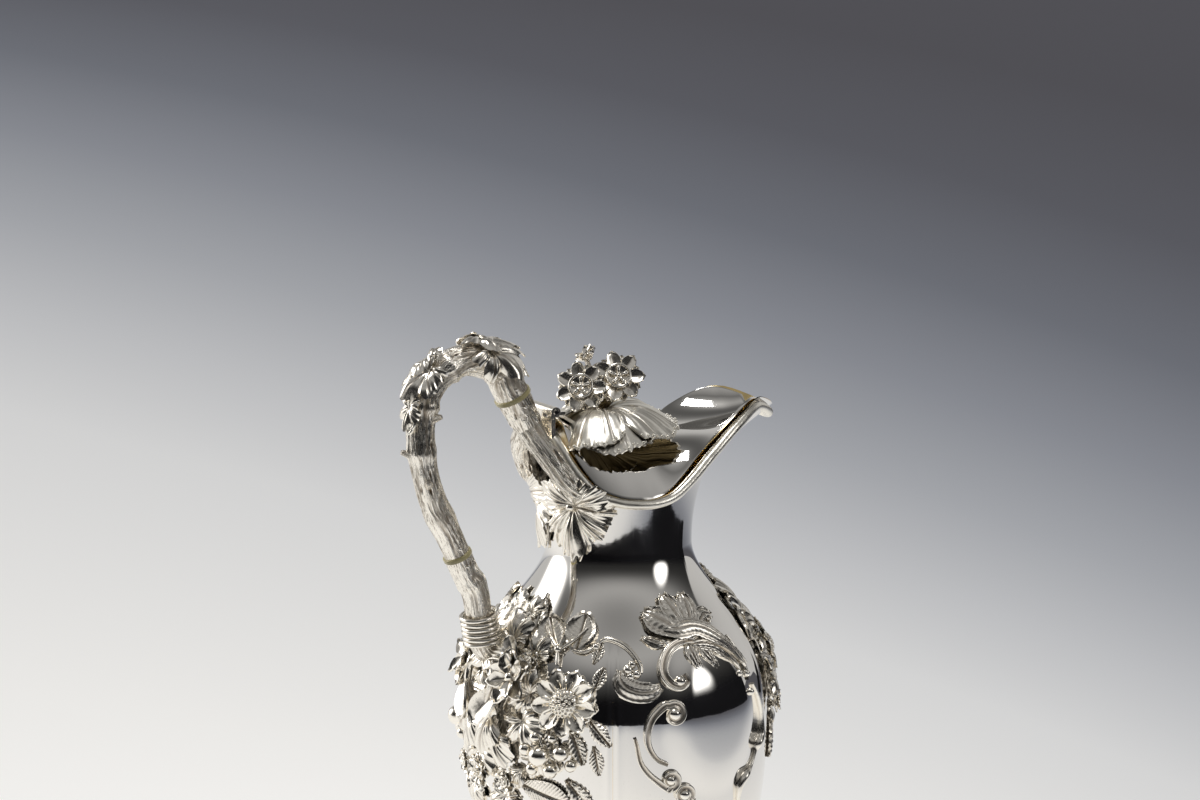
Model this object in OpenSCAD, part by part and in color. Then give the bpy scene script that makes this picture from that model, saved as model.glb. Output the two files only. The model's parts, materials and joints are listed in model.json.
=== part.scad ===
// Claret jug: a tall silver wine jug with a saddle-shaped hinged lid, a cast branch handle that is
// kept cool by two ivory rings, and cast flowers, vine leaves and scrolls on the body.
// Z points up, the spout points along +X and the handle stands at -X. Z = 0 is the table.

/* [Body] */
// Widest diameter of the body
body_d = 136; // [120:1:146]
// Height of the widest part above the table
belly_h = 172; // [164:1:182]
// Height at which the bowl starts above the foot
bowl_h = 46; // [44:1:56]
// Diameter of the neck at its narrowest
neck_d = 63; // [62:1:68]
// Height of the narrowest part of the neck, where body and neck are joined
neck_h = 250; // [244:1:254]
// Thickness of the raised sheet
wall = 0.9; // [0.8:0.05:1.2]

/* [Mouth] */
// Rise of the rim beside the hinge above the narrowest part of the neck
back_up = 57; // [52:1:62]
// Rise of the low stretches of the rim, left and right
dip_up = 24; // [20:1:28]
// Rise of the rim's crests beside the spout
crest_up = 60; // [56:1:64]
// Rise of the pouring tip
tip_up = 53; // [49:1:55]
// Distance from the jug's axis to the pouring tip
spout_reach = 78; // [70:1:84]
// Distance from the jug's axis to the rim beside the hinge
back_reach = 38; // [36:1:40]
// Width of the mouth across its low stretches
mouth_w = 67; // [65:1:70]
// Thickness of the wire soldered under the rim
rim_wire_d = 4.4; // [3.6:0.1:5]

/* [Foot] */
// Diameter of the foot
foot_d = 98; // [88:1:108]
// Height of the moulded ring that the jug stands on
foot_ring_h = 7; // [5:0.5:9]
// Height at which the domed foot meets the stem
dome_h = 29; // [26:1:32]
// Diameter of the stem above and below its knop
stem_d = 22; // [19:1:26]
// Diameter of the knop on the stem
knop_d = 32; // [28:1:38]

/* [Handle] */
// Distance of the handle's centre line outside the widest part of the body
handle_out = 32; // [28:1:36]
// Rise of the handle's arch above the upper ivory ring
arch_rise = 18; // [16:0.5:21]
// Thickness of the grip at the upper ivory ring
grip_top_d = 16; // [14.5:0.5:17.5]
// Thickness of the grip at the lower ivory ring
grip_low_d = 12.4; // [11:0.2:13.6]
// Distance of the upper ring behind the hinge's axis
ring_back = 16.5; // [15:0.5:18]
// Rise of the upper ivory ring above the rim beside the hinge
ring_up_rise = 14; // [12:0.5:16]
// Rise of the lower ivory ring above the narrowest part of the neck
ring_low_rise = 2; // [0:0.5:6]
// Distance of the lower ring outside the widest part of the body
ring_out = 14.5; // [13:0.5:17]
// Thickness of each branch that holds the neck
branch_d = 9; // [8:0.5:10]

/* [Ivory rings] */
// Thickness of an ivory ring
ivory_h = 2.2; // [1.8:0.1:3]
// Distance by which an ivory ring stands out from the handle
ivory_proud = 0.5; // [0.3:0.1:0.8]
// Diameter of the ivory pegs that enter the handle
peg_d = 5.6; // [5:0.2:6.4]
// Length of each ivory peg
peg_l = 7; // [6:0.5:8]
// Diameter of the silver pins through the pegs
pin_d = 1.4; // [1.2:0.1:1.7]

/* [Tendril] */
// Turns of the tendril wound round the lower socket
tendril_turns = 6; // [4:1:7]
// Thickness of the tendril
tendril_d = 1.5; // [1.2:0.1:1.7]
// Rise of the tendril in one turn
tendril_pitch = 2.3; // [2.2:0.1:2.5]

/* [Hinge] */
// Rise of the hinge's axis above the rim beside it
hinge_rise = 6.5; // [5.5:0.5:8]
// Length of the hinge along its axis
hinge_l = 20; // [18:1:24]
// Outer diameter of the knuckles
knuckle_d = 4.6; // [4.2:0.1:5]
// Diameter of the hinge pin
hinge_pin_d = 2; // [1.6:0.1:2.4]
// Gap between the pin and the knuckles that turn on it
pin_gap = 0.05; // [0.03:0.01:0.09]
// Gap between neighbouring knuckles
knuckle_gap = 0.2; // [0.15:0.05:0.4]

/* [Lid] */
// Thickness of the lid
lid_t = 1.3; // [1:0.1:1.6]
// Gap between the lid and the wall of the mouth
lid_gap = 1; // [0.7:0.1:1.6]
// Rise of the lid's middle above the low stretches of the rim
lid_rise = 23; // [21:1:25]
// Width of the strap that carries the lid
strap_w = 12; // [10:0.5:14]
// Thickness of the strap
strap_t = 1.4; // [1.2:0.1:1.8]

/* [Finial] */
// Distance of the finial behind the jug's axis
finial_back = 9; // [6:1:12]
// Height of the finial's foot above the lid
finial_foot_h = 13; // [11:0.5:15]
// Diameter of the threaded stud that holds the finial
stud_d = 3; // [2.4:0.2:3.6]
// Width of the nut under the lid
nut_w = 8; // [7:0.5:9.5]
// Span of the front flower
front_flower_d = 23; // [20:1:24]
// Span of the rear flower
rear_flower_d = 22; // [19:1:23]

/* [Ornament] */
// Height of the flowers' relief above the body
relief = 7.5; // [5:0.5:9]
// Length of the large leaves on the neck
neck_leaf_l = 27; // [22:1:30]
// Thickness of the cast leaves
leaf_t = 1.3; // [1:0.1:1.8]
// Diameter of the rods that the scrolls are cast from
scroll_d = 3.4; // [2.8:0.2:4.2]

/* [Hidden] */

belly_r = body_d/2;
neck_r = neck_d/2;
stem_r = stem_d/2;
back_h = neck_h+back_up;
dip_h = neck_h+dip_up;
crest_h = neck_h+crest_up;
tip_h = neck_h+tip_up;
hinge_x = -back_reach;
hinge_h = back_h+hinge_rise;
lid_mid_h = dip_h+lid_rise;
handle_reach = belly_r+handle_out;
ring_up_h = back_h+ring_up_rise;
ring_low_h = neck_h+ring_low_rise;
handle_top_h = ring_up_h+arch_rise;

// Sides of beads, of rods, of cups, of the turned stub and of what is turned true
bead = 4;
pointed = 6;
coarse = 8;
turned = 24;
fine = 72;

// Distance that takes a cutting shape right through a piece
through = 40;

// Depth to which soldered ornament is let into the wall
solder = 0.3;

// Shape of the body's curve: how full the bowl is, and how the shoulder runs into the neck
bowl_full = 2.4;
shoulder_run = 1.4;

// Shape of the mouth at every 15 degrees from the spout round to the hinge
ring_step = 15;
spout_spread = [1, 0.69, 0.41, 0.18, 0.06, 0.01, 0];
back_spread = [0, 0.06, 0.2, 0.5, 0.8, 1, 1];
spout_rise = [0, 1, 0.81, 0.49, 0.23, 0.06, 0];
back_rise = [0, 0, 0.04, 0.15, 0.45, 0.83, 1];
flare = 2.2;

// Places of the two ivory rings on the handle's centre line, and the handle's direction there
ring_up = [hinge_x-ring_back, 0, ring_up_h];
ring_low = [-belly_r-ring_out, 0, ring_low_h];
up_lean = 28;
low_lean = 25;
up_dir = [sin(up_lean), 0, -cos(up_lean)];
low_dir = [sin(low_lean), 0, -cos(low_lean)];

function unit(v) = v/norm(v);
function mix(a, b, t) = a+(b-a)*t;
function last(p) = p[len(p)-1];

// One value of a smooth curve between b and c, with a and d as the values before and after
function blend(a, b, c, d, t) =
    0.5*(2*b+(c-a)*t+(2*a-5*b+4*c-d)*t*t+(3*b-a-3*c+d)*t*t*t);

// A smooth curve through the points p, with n steps between neighbours
function smooth(p, n) = concat(
    [for (k = [0:len(p)-2], i = [0:n-1])
        blend(p[max(k-1, 0)], p[k], p[k+1], p[min(k+2, len(p)-1)], i/n)],
    [last(p)]
);

// Value of a table given at even steps round half the mouth, mirrored at both ends
function around(table, angle) =
    let (a = abs(angle)/ring_step, top = len(table)-1, k = min(floor(a), top-1),
        before = k == 0 ? table[1] : table[k-1],
        after = k+2 > top ? table[top-1] : table[k+2])
    blend(before, table[k], table[k+1], after, a-k);

// Radius of the body's outside at the height z
function body_r(z) =
    z < belly_h
    ? belly_r*sqrt(max(0, 1-pow((belly_h-z)/(belly_h-bowl_h), bowl_full)))
    : mix(neck_r, belly_r, (1+cos(180*pow(min(1, (z-belly_h)/(neck_h-belly_h)), shoulder_run)))/2);

// Lean of the body's wall from the upright at the height z, positive where it faces up
function body_lean(z) = atan2(body_r(z-1)-body_r(z+1), 2);

// Radius and height of the rim at an angle from the spout
rim_r_table = concat(
    [for (k = spout_spread) mix(mouth_w/2, spout_reach, k)],
    [for (i = [1:6]) mix(mouth_w/2, back_reach, back_spread[i])]
);
rim_z_table = concat(
    [for (i = [0:6]) i == 0 ? tip_h : mix(dip_h, crest_h, spout_rise[i])],
    [for (i = [1:6]) mix(dip_h, back_h, back_rise[i])]
);
function rim_r(angle) = around(rim_r_table, angle);
function rim_z(angle) = around(rim_z_table, angle);

// Radius, height and slope of the neck's outside, from its foot at s = 0 to the rim at s = 1
function neck_rz(angle, s) = [
    mix(neck_r, rim_r(angle), pow(s, flare)),
    mix(neck_h, rim_z(angle), s)
];
function neck_slope(angle, s) =
    unit([flare*(rim_r(angle)-neck_r)*pow(s, flare-1), rim_z(angle)-neck_h]);
function neck_point(angle, s, depth) =
    let (p = neck_rz(angle, s), m = neck_slope(angle, s), r = p[0]-depth*m[1])
    [r*cos(angle), r*sin(angle), p[1]+depth*m[0]];

// Height of the neck's wall given as its share of the way up to the rim
function neck_share(angle, z) = min(1, (z-neck_h)/(rim_z(angle)-neck_h));
function neck_out_r(angle, z) = neck_rz(angle, neck_share(angle, z))[0];

// Triangles over a grid of points that starts at number first, facing one way or the other
function grid_faces(first, rows, cols, closed, flip) = [
    for (i = [0:rows-2], j = [0:cols-(closed ? 1 : 2)])
        let (a = first+i*cols+j, b = first+i*cols+(j+1)%cols, c = b+cols, d = a+cols)
        each flip ? [[a, d, c], [a, c, b]] : [[a, c, d], [a, b, c]]
];
function flat(rows) = [for (row = rows) each row];
function band(ring, other) = [
    for (k = [0:len(ring)-1])
        let (n = (k+1)%len(ring))
        each [[other[k], ring[k], ring[n]], [other[k], ring[n], other[n]]]
];

// A sheet between two grids of points: i runs along X and j along Y when top faces up
module slab(top, bottom) {
    rows = len(top);
    cols = len(top[0]);
    edge = concat(
        [for (i = [0:rows-1]) i*cols],
        [for (j = [1:cols-1]) (rows-1)*cols+j],
        [for (i = [rows-2:-1:0]) i*cols+cols-1],
        [for (j = [cols-2:-1:1]) j]
    );
    polyhedron(
        concat(flat(top), flat(bottom)),
        concat(
            grid_faces(0, rows, cols, false, false),
            grid_faces(rows*cols, rows, cols, false, true),
            band(edge, [for (e = edge) e+rows*cols])
        )
    );
}

// A wall between two grids of points that both close round the Z axis
module round_wall(outer, inner) {
    rows = len(outer);
    cols = len(outer[0]);
    half = rows*cols;
    low = [for (j = [0:cols-1]) j];
    high = [for (j = [0:cols-1]) (rows-1)*cols+j];
    polyhedron(
        concat(flat(outer), flat(inner)),
        concat(
            grid_faces(0, rows, cols, true, true),
            grid_faces(half, rows, cols, true, false),
            band(low, [for (j = low) j+half]),
            band([for (j = high) j+half], high)
        )
    );
}

// A tube along a path; up is any direction that the path never takes
module tube(path, radii, sides, up) {
    n = len(path);
    rings = [
        for (i = [0:n-1])
            let (
                t = unit(path[min(i+1, n-1)]-path[max(i-1, 0)]),
                u = unit(cross(up, t)),
                v = cross(t, u)
            )
            [for (j = [0:sides-1])
                path[i]+radii[i]*(cos(360*j/sides)*u+sin(360*j/sides)*v)]
    ];
    polyhedron(
        flat(rings),
        concat(
            grid_faces(0, n, sides, true, true),
            [[for (j = [0:sides-1]) j]],
            [[for (j = [sides-1:-1:0]) (n-1)*sides+j]]
        )
    );
}

// A run of rods with round joints, which may branch and bend freely
module rods(path, radii) {
    for (i = [0:len(path)-2])
        hull() {
            translate(path[i]) sphere(radii[i], $fn = pointed);
            translate(path[i+1]) sphere(radii[i+1], $fn = pointed);
        }
}

// A cast leaf that grows along +X with its face up: it droops at its tip and dishes at its sides
module leaf(length, width, lobes, droop, dish) {
    steps = 7;
    side_steps = 2;
    narrow = 0.5;
    function face(up) = [
        for (i = [0:steps])
            let (s = i/steps, w = narrow+width/2*sin(180*pow(s, 0.7))*(1+0.2*cos(360*lobes*s)))
            [for (j = [-side_steps:side_steps])
                let (q = j/side_steps)
                [length*s, w*q, up-droop*s*s-dish*q*q*sin(180*s)]]
    ];
    slab(face(leaf_t/2), face(-leaf_t/2));
}

// A petal that grows along +X, thin and wide, with its tip lifted
module petal(length, width, lift) {
    root_r = 0.8;
    tip_r = 0.64;
    widest = 0.62;
    hull() {
        sphere(root_r, $fn = bead);
        for (side = [-1, 1])
            translate([length*widest, side*width/2, lift/2]) sphere(tip_r, $fn = bead);
        translate([length-root_r, 0, lift]) sphere(tip_r, $fn = bead);
    }
}

// A folded leaf for the sprays, one hull on each side of its midrib
module spray_leaf(length, width, lift) {
    root_r = 1;
    tip_r = 0.8;
    for (side = [-1, 1])
        hull() {
            sphere(root_r, $fn = bead);
            translate([length*0.5, side*width/2, 0]) sphere(tip_r, $fn = bead);
            translate([length*0.55, 0, lift*0.6]) sphere(tip_r, $fn = bead);
            translate([length, 0, lift]) sphere(tip_r, $fn = bead);
        }
}

// Open blossom facing up: a ring of petals round a cup, which reaches a little below them
function cup_depth(span, cup_share) = span/2*cup_share*0.4;
module blossom(span, petals, cup_share, lift) {
    cup_r = span/2*cup_share;
    disc_h = 0.5;
    for (k = [0:petals-1])
        rotate([0, 0, 360*k/petals]) petal(span/2, span/2*0.62, lift);
    hull() {
        translate([0, 0, -cup_depth(span, cup_share)])
            cylinder(h = disc_h, r = cup_r*0.7, $fn = coarse);
        translate([0, 0, cup_r*0.9])
            cylinder(h = disc_h, r = cup_r, $fn = coarse);
    }
}

// Places its children on the body with +Z facing out and +X turned from the way down the wall
module on_body(angle, z, turn, out) {
    rotate([0, 0, angle])
        translate([body_r(z), 0, z])
            rotate([0, 90-body_lean(z), 0])
                rotate([0, 0, turn])
                    translate([0, 0, out]) children();
}

// A blossom whose cup is soldered to the body's wall
module body_blossom(angle, z, turn, span, petals, cup_share, lift) {
    on_body(angle, z, turn, cup_depth(span, cup_share)-solder)
        blossom(span, petals, cup_share, lift);
}

// Height given as a share of the shoulder, from the widest part at 0 to the neck at 1
function shoulder_z(share) = mix(belly_h, neck_h, share);

// A point just outside the body
function body_point(angle, z, out) =
    let (r = body_r(z)+out) [r*cos(angle), r*sin(angle), z];

// Height at which the bowl is just as wide as the stem, and seats on it
seat_h = belly_h-(belly_h-bowl_h)*pow(1-pow(stem_r/belly_r, 2), 1/bowl_full);

// Level width of the wall, wider where the wall leans, and limited near the bowl's bottom
steepest = 0.35;
function wall_across(z) = wall/max(steepest, cos(body_lean(z)));

module body_shell() {
    steps = 44;
    axis_gap = 0.01;
    outer = [for (i = [0:steps])
        let (z = mix(seat_h, neck_h, i/steps)) [body_r(z), z]];
    inner = [for (i = [steps:-1:0])
        let (z = mix(seat_h+wall, neck_h, i/steps)) [max(axis_gap, body_r(z)-wall_across(z)), z]];
    color("#d9d8d4")
        rotate_extrude($fn = fine)
            polygon(concat([[0, seat_h]], outer, inner, [[0, seat_h+wall]]));
}

module neck_shell() {
    columns = 60;
    rows = 8;
    function skin(depth) = [
        for (i = [0:rows])
            [for (j = [0:columns-1])
                let (a = 360*j/columns, b = a > 180 ? a-360 : a)
                neck_point(b, i/rows, depth)]
    ];
    color("#d9d8d4") round_wall(skin(0), skin(wall));
}

// Path of the wire under the rim, from one side of the hinge round the spout to the other
wire_steps = 62;
wire_start = 172;
wire_out = 0.28*rim_wire_d;
wire_down = 0.8*wire_out;
function wire_point(angle) =
    let (m = neck_slope(angle, 1), r = rim_r(angle)+wire_out*m[1])
    [r*cos(angle), r*sin(angle), rim_z(angle)-wire_out*m[0]-wire_down];
wire_path = [for (i = [0:wire_steps]) wire_point(mix(wire_start, -wire_start, i/wire_steps))];

module rim_wire() {
    color("#dedad2")
        tube(wire_path, [for (p = wire_path) rim_wire_d/2], coarse, [0, 0, 1]);
}

module stem() {
    collar_h = 1.5;
    waist_r = stem_r-2;
    core_r = stem_r-5;
    floor_t = 2;
    knop_z = mix(dome_h, seat_h, 0.5);
    knop_half = (seat_h-dome_h)*0.27;
    steps = 12;
    knop = [for (i = [0:steps])
        let (a = mix(-90, 90, i/steps))
        [waist_r+(knop_d/2-waist_r)*cos(a), knop_z+knop_half*sin(a)]];
    color("#d9d8d4")
        difference() {
            rotate_extrude($fn = fine)
                polygon(concat(
                    [[0, dome_h], [stem_r, dome_h], [stem_r, dome_h+collar_h]],
                    knop,
                    [[stem_r, seat_h-collar_h], [stem_r, seat_h], [0, seat_h]]
                ));
            translate([0, 0, dome_h-floor_t])
                cylinder(h = seat_h-dome_h, r = core_r, $fn = fine);
        }
}

// Outside of the domed foot: a hollow curve from the ring up to the stem
dome_inset = 3;
dome_hollow = 0.55;
dome_wall = 1.8*wall;
function dome_r(z) =
    mix(foot_d/2-dome_inset, stem_r, pow((z-foot_ring_h)/(dome_h-foot_ring_h), dome_hollow));

module foot_dome() {
    steps = 16;
    rise = [for (i = [0:steps]) mix(foot_ring_h, dome_h, i/steps)];
    color("#d9d8d4")
        rotate_extrude($fn = fine)
            polygon(concat(
                [for (z = rise) [dome_r(z), z]],
                [[stem_r-dome_inset-wall, dome_h]],
                [for (i = [steps-1:-1:0])
                    [dome_r(rise[i])-dome_wall, max(foot_ring_h, rise[i]-wall*0.2)]]
            ));
}

module foot_ring() {
    r = foot_d/2;
    h = foot_ring_h;
    ring_w = 7;
    lip = 2;
    inner_w = 3;
    color("#d9d8d4")
        rotate_extrude($fn = fine)
            difference() {
                union() {
                    translate([r-ring_w, 0]) square([ring_w, h*0.4]);
                    translate([r-h*0.3, h*0.4]) circle(h*0.3, $fn = fine);
                    translate([r-ring_w, 0]) square([ring_w-lip, h]);
                }
                translate([r-ring_w-1, -1]) square([inner_w, h*0.7]);
            }
}

// Centre line of the grip, from the upper ring over the top and down to the lower ring
grip_way = [
    ring_up,
    ring_up-up_dir*(ivory_h/2+6),
    [ring_up[0]-6.5, 0, mix(ring_up_h, handle_top_h, 0.66)],
    [mix(ring_up[0], -handle_reach, 0.31), 0, handle_top_h-2],
    [mix(ring_up[0], -handle_reach, 0.55), 0, handle_top_h],
    [mix(ring_up[0], -handle_reach, 0.79), 0, handle_top_h-5],
    [mix(ring_up[0], -handle_reach, 0.94), 0, handle_top_h-14],
    [-handle_reach, 0, handle_top_h-27],
    [mix(ring_low[0], -handle_reach, 0.95), 0, mix(ring_low_h, handle_top_h, 0.52)],
    [mix(ring_low[0], -handle_reach, 0.73), 0, mix(ring_low_h, handle_top_h, 0.32)],
    ring_low-low_dir*(ivory_h/2+7),
    ring_low
];
grip_path = smooth(grip_way, 4);

// Thickness of the grip: it thins from the top ring to the lower one, with knots in the bark
knot = 0.35;
bark_sides = 12;
function grip_r(share) =
    mix(grip_top_d, grip_low_d, min(1, share*1.25))/2+knot*sin(share*1300)*sin(180*share);

module grip_body() {
    n = len(grip_path)-1;
    tube(grip_path, [for (i = [0:n]) grip_r(i/n)], bark_sides, [0, 1, 0]);
}

// A peg hole that runs from a ring's middle into the handle; way is 1 above the ring, -1 below
module peg_hole(place, lean, way) {
    translate(place)
        rotate([0, (way > 0 ? 0 : 180)-lean, 0])
            cylinder(h = peg_l+ivory_h/2, d = peg_d, $fn = fine);
}

// The room that a ring takes between the ends of the two cast pieces beside it
module ring_room(place, lean) {
    translate(place)
        rotate([0, 180-lean, 0])
            cylinder(h = ivory_h, d = 2*grip_top_d, center = true, $fn = turned);
}

module handle_grip() {
    color("#cfc8bb")
        difference() {
            grip_body();
            ring_room(ring_up, up_lean);
            ring_room(ring_low, low_lean);
            peg_hole(ring_up, up_lean, 1);
            peg_hole(ring_low, low_lean, 1);
            pins_at(ring_up, up_lean, grip_top_d, 1);
            pins_at(ring_low, low_lean, grip_low_d, 1);
        }
}

// An ivory ring with a peg on each side, square to the handle's centre line
module ivory_ring(place, lean, d) {
    translate(place)
        rotate([0, 180-lean, 0])
            union() {
                translate([0, 0, -ivory_h/2])
                    cylinder(h = ivory_h, d = d+2*ivory_proud, $fn = fine);
                translate([0, 0, -peg_l-ivory_h/2])
                    cylinder(h = 2*peg_l+ivory_h, d = peg_d, $fn = fine);
            }
}

// The pins that hold one ring's pegs; way is 1 above the ring and -1 below it
module pins_at(place, lean, d, way) {
    translate(place)
        rotate([0, 180-lean, 0])
            translate([0, 0, -way*(ivory_h+peg_l)/2])
                rotate([90, 0, 0])
                    cylinder(h = d+pin_d, d = pin_d, center = true, $fn = fine);
}

module upper_ring() {
    color("#e5d9a8")
        difference() {
            ivory_ring(ring_up, up_lean, grip_top_d);
            for (way = [-1, 1]) pins_at(ring_up, up_lean, grip_top_d, way);
        }
}

module lower_ring() {
    color("#e5d9a8")
        difference() {
            ivory_ring(ring_low, low_lean, grip_low_d);
            for (way = [-1, 1]) pins_at(ring_low, low_lean, grip_low_d, way);
        }
}

module ring_pins() {
    color("#d9d8d4")
        for (way = [-1, 1]) {
            pins_at(ring_up, up_lean, grip_top_d, way);
            pins_at(ring_low, low_lean, grip_low_d, way);
        }
}

// Fork of the upper socket, and the way each branch takes round the neck
fork = ring_up+up_dir*16;
branch_r = branch_d/2;
neck_clear = 3.5;
function beside_neck(angle, z, out) =
    let (r = neck_out_r(angle, z)+out) [r*cos(angle), r*sin(angle), z];
function branch_way(side) = [
    fork,
    beside_neck(side*166, mix(dip_h, back_h, 0.66), branch_r+neck_clear),
    beside_neck(side*152, mix(dip_h, back_h, 0.24), branch_r),
    beside_neck(side*136, dip_h+3, branch_r*0.8),
    beside_neck(side*122, dip_h+0.5, branch_r*0.7)
];
branch_taper = [0.72, 0.52, 0.5, 0.42, 0.3];
function taper_r(n) = [
    for (i = [0:n])
        let (s = i/n*4, k = min(3, floor(s))) branch_d*mix(branch_taper[k], branch_taper[k+1], s-k)
];

// The upper socket: a stub under the ring, cut off square to meet it, and the two branches
module upper_socket() {
    stub = [ring_up+up_dir*ivory_h/2, ring_up+up_dir*7, fork];
    stub_r = [grip_top_d/2, grip_top_d/2-0.4, grip_top_d/2-1];
    face_t = 0.6;
    core_r = neck_r+0.9;
    color("#cfc8bb")
        difference() {
            union() {
                hull() {
                    translate(stub[0])
                        rotate([0, 180-up_lean, 0])
                            cylinder(h = face_t, r = stub_r[0], $fn = turned);
                    translate(stub[1]) sphere(stub_r[1], $fn = turned);
                }
                rods([stub[1], stub[2]], [stub_r[1], stub_r[2]]);
                for (side = [-1, 1])
                    let (way = smooth(branch_way(side), 2)) rods(way, taper_r(len(way)-1));
            }
            peg_hole(ring_up, up_lean, -1);
            translate(stub[0])
                rotate([0, -up_lean, 0]) cylinder(h = through/2, d = through, $fn = turned);
            cylinder(h = ring_up_h, r = core_r, $fn = fine);
            pins_at(ring_up, up_lean, grip_top_d, -1);
        }
}

// The lower socket runs from the lower ring down to the shoulder under the flowers
socket_end_h = shoulder_z(0.4);
socket_way = [
    ring_low,
    ring_low+low_dir*(ivory_h/2+7.5),
    [-belly_r-6.3, 0, mix(socket_end_h, ring_low_h, 0.66)],
    [-belly_r-4, 0, mix(socket_end_h, ring_low_h, 0.4)],
    [-belly_r-2.2, 0, mix(socket_end_h, ring_low_h, 0.16)],
    [-body_r(socket_end_h)-1, 0, socket_end_h]
];
socket_r = grip_low_d/2;
socket_knot = 0.5;

module lower_socket() {
    path = smooth(socket_way, 4);
    n = len(path)-1;
    bark_r = [for (i = [0:n]) socket_r+socket_knot*sin(180*i/n)*cos(i*70)];
    color("#cfc8bb")
        difference() {
            tube(path, bark_r, bark_sides, [0, 1, 0]);
            ring_room(ring_low, low_lean);
            peg_hole(ring_low, low_lean, -1);
            pins_at(ring_low, low_lean, grip_low_d, -1);
        }
}

// The tendril winds once per turn round the straight stretch of the lower socket
tendril_rings = 24;
tendril_clear = 0.3;
tendril_mid = mix(socket_way[3], socket_way[4], 0.42);
tendril_axis = unit(socket_way[4]-socket_way[2]);
tendril_side = cross(tendril_axis, [0, 1, 0]);
tendril_r = socket_r+socket_knot+tendril_clear+tendril_d/2;
tendril_len = tendril_turns*tendril_pitch;
function tendril_at(turn, r) =
    tendril_mid+tendril_axis*(turn*tendril_pitch-tendril_len/2)
    +r*(cos(360*turn)*tendril_side+sin(360*turn)*[0, 1, 0]);
tendril_path = concat(
    [tendril_at(0, tendril_r-tendril_d)],
    [for (i = [0:tendril_turns*tendril_rings]) tendril_at(i/tendril_rings, tendril_r)],
    [tendril_at(tendril_turns, tendril_r-tendril_d)]
);
tendril_gap = min([
    for (i = [1:len(tendril_path)-2], j = [i+tendril_rings/2:1:len(tendril_path)-2])
        norm(tendril_path[i]-tendril_path[j])
])-tendril_d;
echo(str("least gap between the tendril's turns: ", tendril_gap));

module tendril() {
    color("#dedad2")
        tube(tendril_path, [for (p = tendril_path) tendril_d/2], 6, tendril_axis);
}

// A large vine leaf on the neck where each branch ends: its lobes stand round one root, given from
// the side towards the hinge to the side towards the spout
vine_lobes = [0.2, 0.35, 0.34, 0.55, 0.5, 0.8, 1, 0.62, 0.66, 0.6, 0.74, 0.5, 0.2];
module vine_leaf(side) {
    angle = side*152;
    root_z = dip_h-1;
    stand_off = 0.55;
    swell = 1.2;
    rows = 4;
    spread = 128;
    cols = len(vine_lobes)-1;
    function place(i, j, out) =
        let (
            turn = mix(-spread, spread, j/cols),
            r = neck_leaf_l*vine_lobes[j]*mix(0.1, 1, i/rows),
            down = r*cos(turn),
            along = r*sin(turn),
            z = root_z-down,
            a = angle-side*along/neck_out_r(angle, max(neck_h, z))*180/PI,
            neck_at = neck_out_r(a, max(neck_h, z)),
            wall_r = neck_at+stand_off+out+swell*sin(180*i/rows)
        )
        [wall_r*cos(a), wall_r*sin(a), z];
    function face(out) = [for (i = [0:rows]) [for (j = [0:cols]) place(i, j, out)]];
    slab(face(side < 0 ? leaf_t : 0), face(side < 0 ? 0 : leaf_t));
}

module near_vine_leaf() {
    color("#cfc8bb") vine_leaf(-1);
}

module far_vine_leaf() {
    color("#cfc8bb") vine_leaf(1);
}

// Places its children on the grip's bark: +X runs along the grip, and roll 180 faces away from it
module on_grip(share, roll) {
    n = len(grip_path)-1;
    k = round(share*n);
    t = unit(grip_path[k+1]-grip_path[k-1]);
    bark_clear = 0.2;
    translate(grip_path[k])
        rotate([0, -atan2(t[2], t[0]), 0])
            rotate([roll, 0, 0])
                translate([0, 0, grip_r(k/n)+bark_clear]) children();
}

// Leaves on the arch of the grip, in pairs that lie along the bark: place, size and droop
grip_leaf_l = 19;
grip_leaf_w = 11.4;
grip_leaf_places = [[0.14, 0.82, 2], [0.31, 0.9, 1.5], [0.47, 0.85, 3.4]];
module grip_leaves() {
    color("#cfc8bb")
        for (side = [-1, 1], p = grip_leaf_places)
            on_grip(p[0], 180+side*36)
                rotate([0, 0, side*14])
                    leaf(grip_leaf_l*p[1], grip_leaf_w*p[1], 3, p[2], 1.6);
}

// Leaves of the spray under the handle: angle from the handle, share of the shoulder, turn, and
// length as a share of the longest
handle_leaf_l = 22;
handle_leaf_places = [
    [0, 0.31, 200, 1], [16, 0.54, 150, 0.9], [30, 0.6, 160, 0.77], [46, 0.6, 190, 0.77],
    [12, 0.08, 20, 0.9], [30, 0, 60, 0.9], [46, 0.08, 120, 0.73], [52, 0.33, 100, 0.64],
    [20, -0.26, 30, 0.9], [36, -0.28, 330, 0.86], [6, -0.33, 0, 1], [26, 0.36, 240, 0.82]
];
handle_angle = 180;

// Spans of the flowers under the handle and below the spout, and the size of the berries
sunflower_d = 27;
handle_flower_d = 25;
low_flower_d = 21;
spout_flower_d = 22;
berry_r = 3.2;

module handle_spray() {
    color("#cfc8bb")
        for (side = [-1, 1], p = handle_leaf_places)
            if (p[0] > 0 || side > 0)
                on_body(handle_angle+side*p[0], shoulder_z(p[1]), side*p[2], solder)
                    spray_leaf(handle_leaf_l*p[3], handle_leaf_l*p[3]*0.62, relief*0.62);
}

module handle_spray_flowers() {
    color("#cfc8bb")
        for (side = [-1, 1]) {
            body_blossom(handle_angle+side*40, shoulder_z(0.27), 0, sunflower_d, 9, 0.42, relief*0.5);
            body_blossom(handle_angle+side*13, shoulder_z(0.26), 15, handle_flower_d, 6, 0.3, relief*0.9);
            body_blossom(handle_angle+side*14, shoulder_z(-0.15), 0, low_flower_d, 5, 0.36, relief*0.8);
            for (row = [0, 1], k = [0:2])
                on_body(
                    handle_angle+side*(31+5*k), shoulder_z(-0.01)-2.5*berry_r*row,
                    0, berry_r-solder
                ) sphere(berry_r, $fn = pointed);
        }
}

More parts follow.
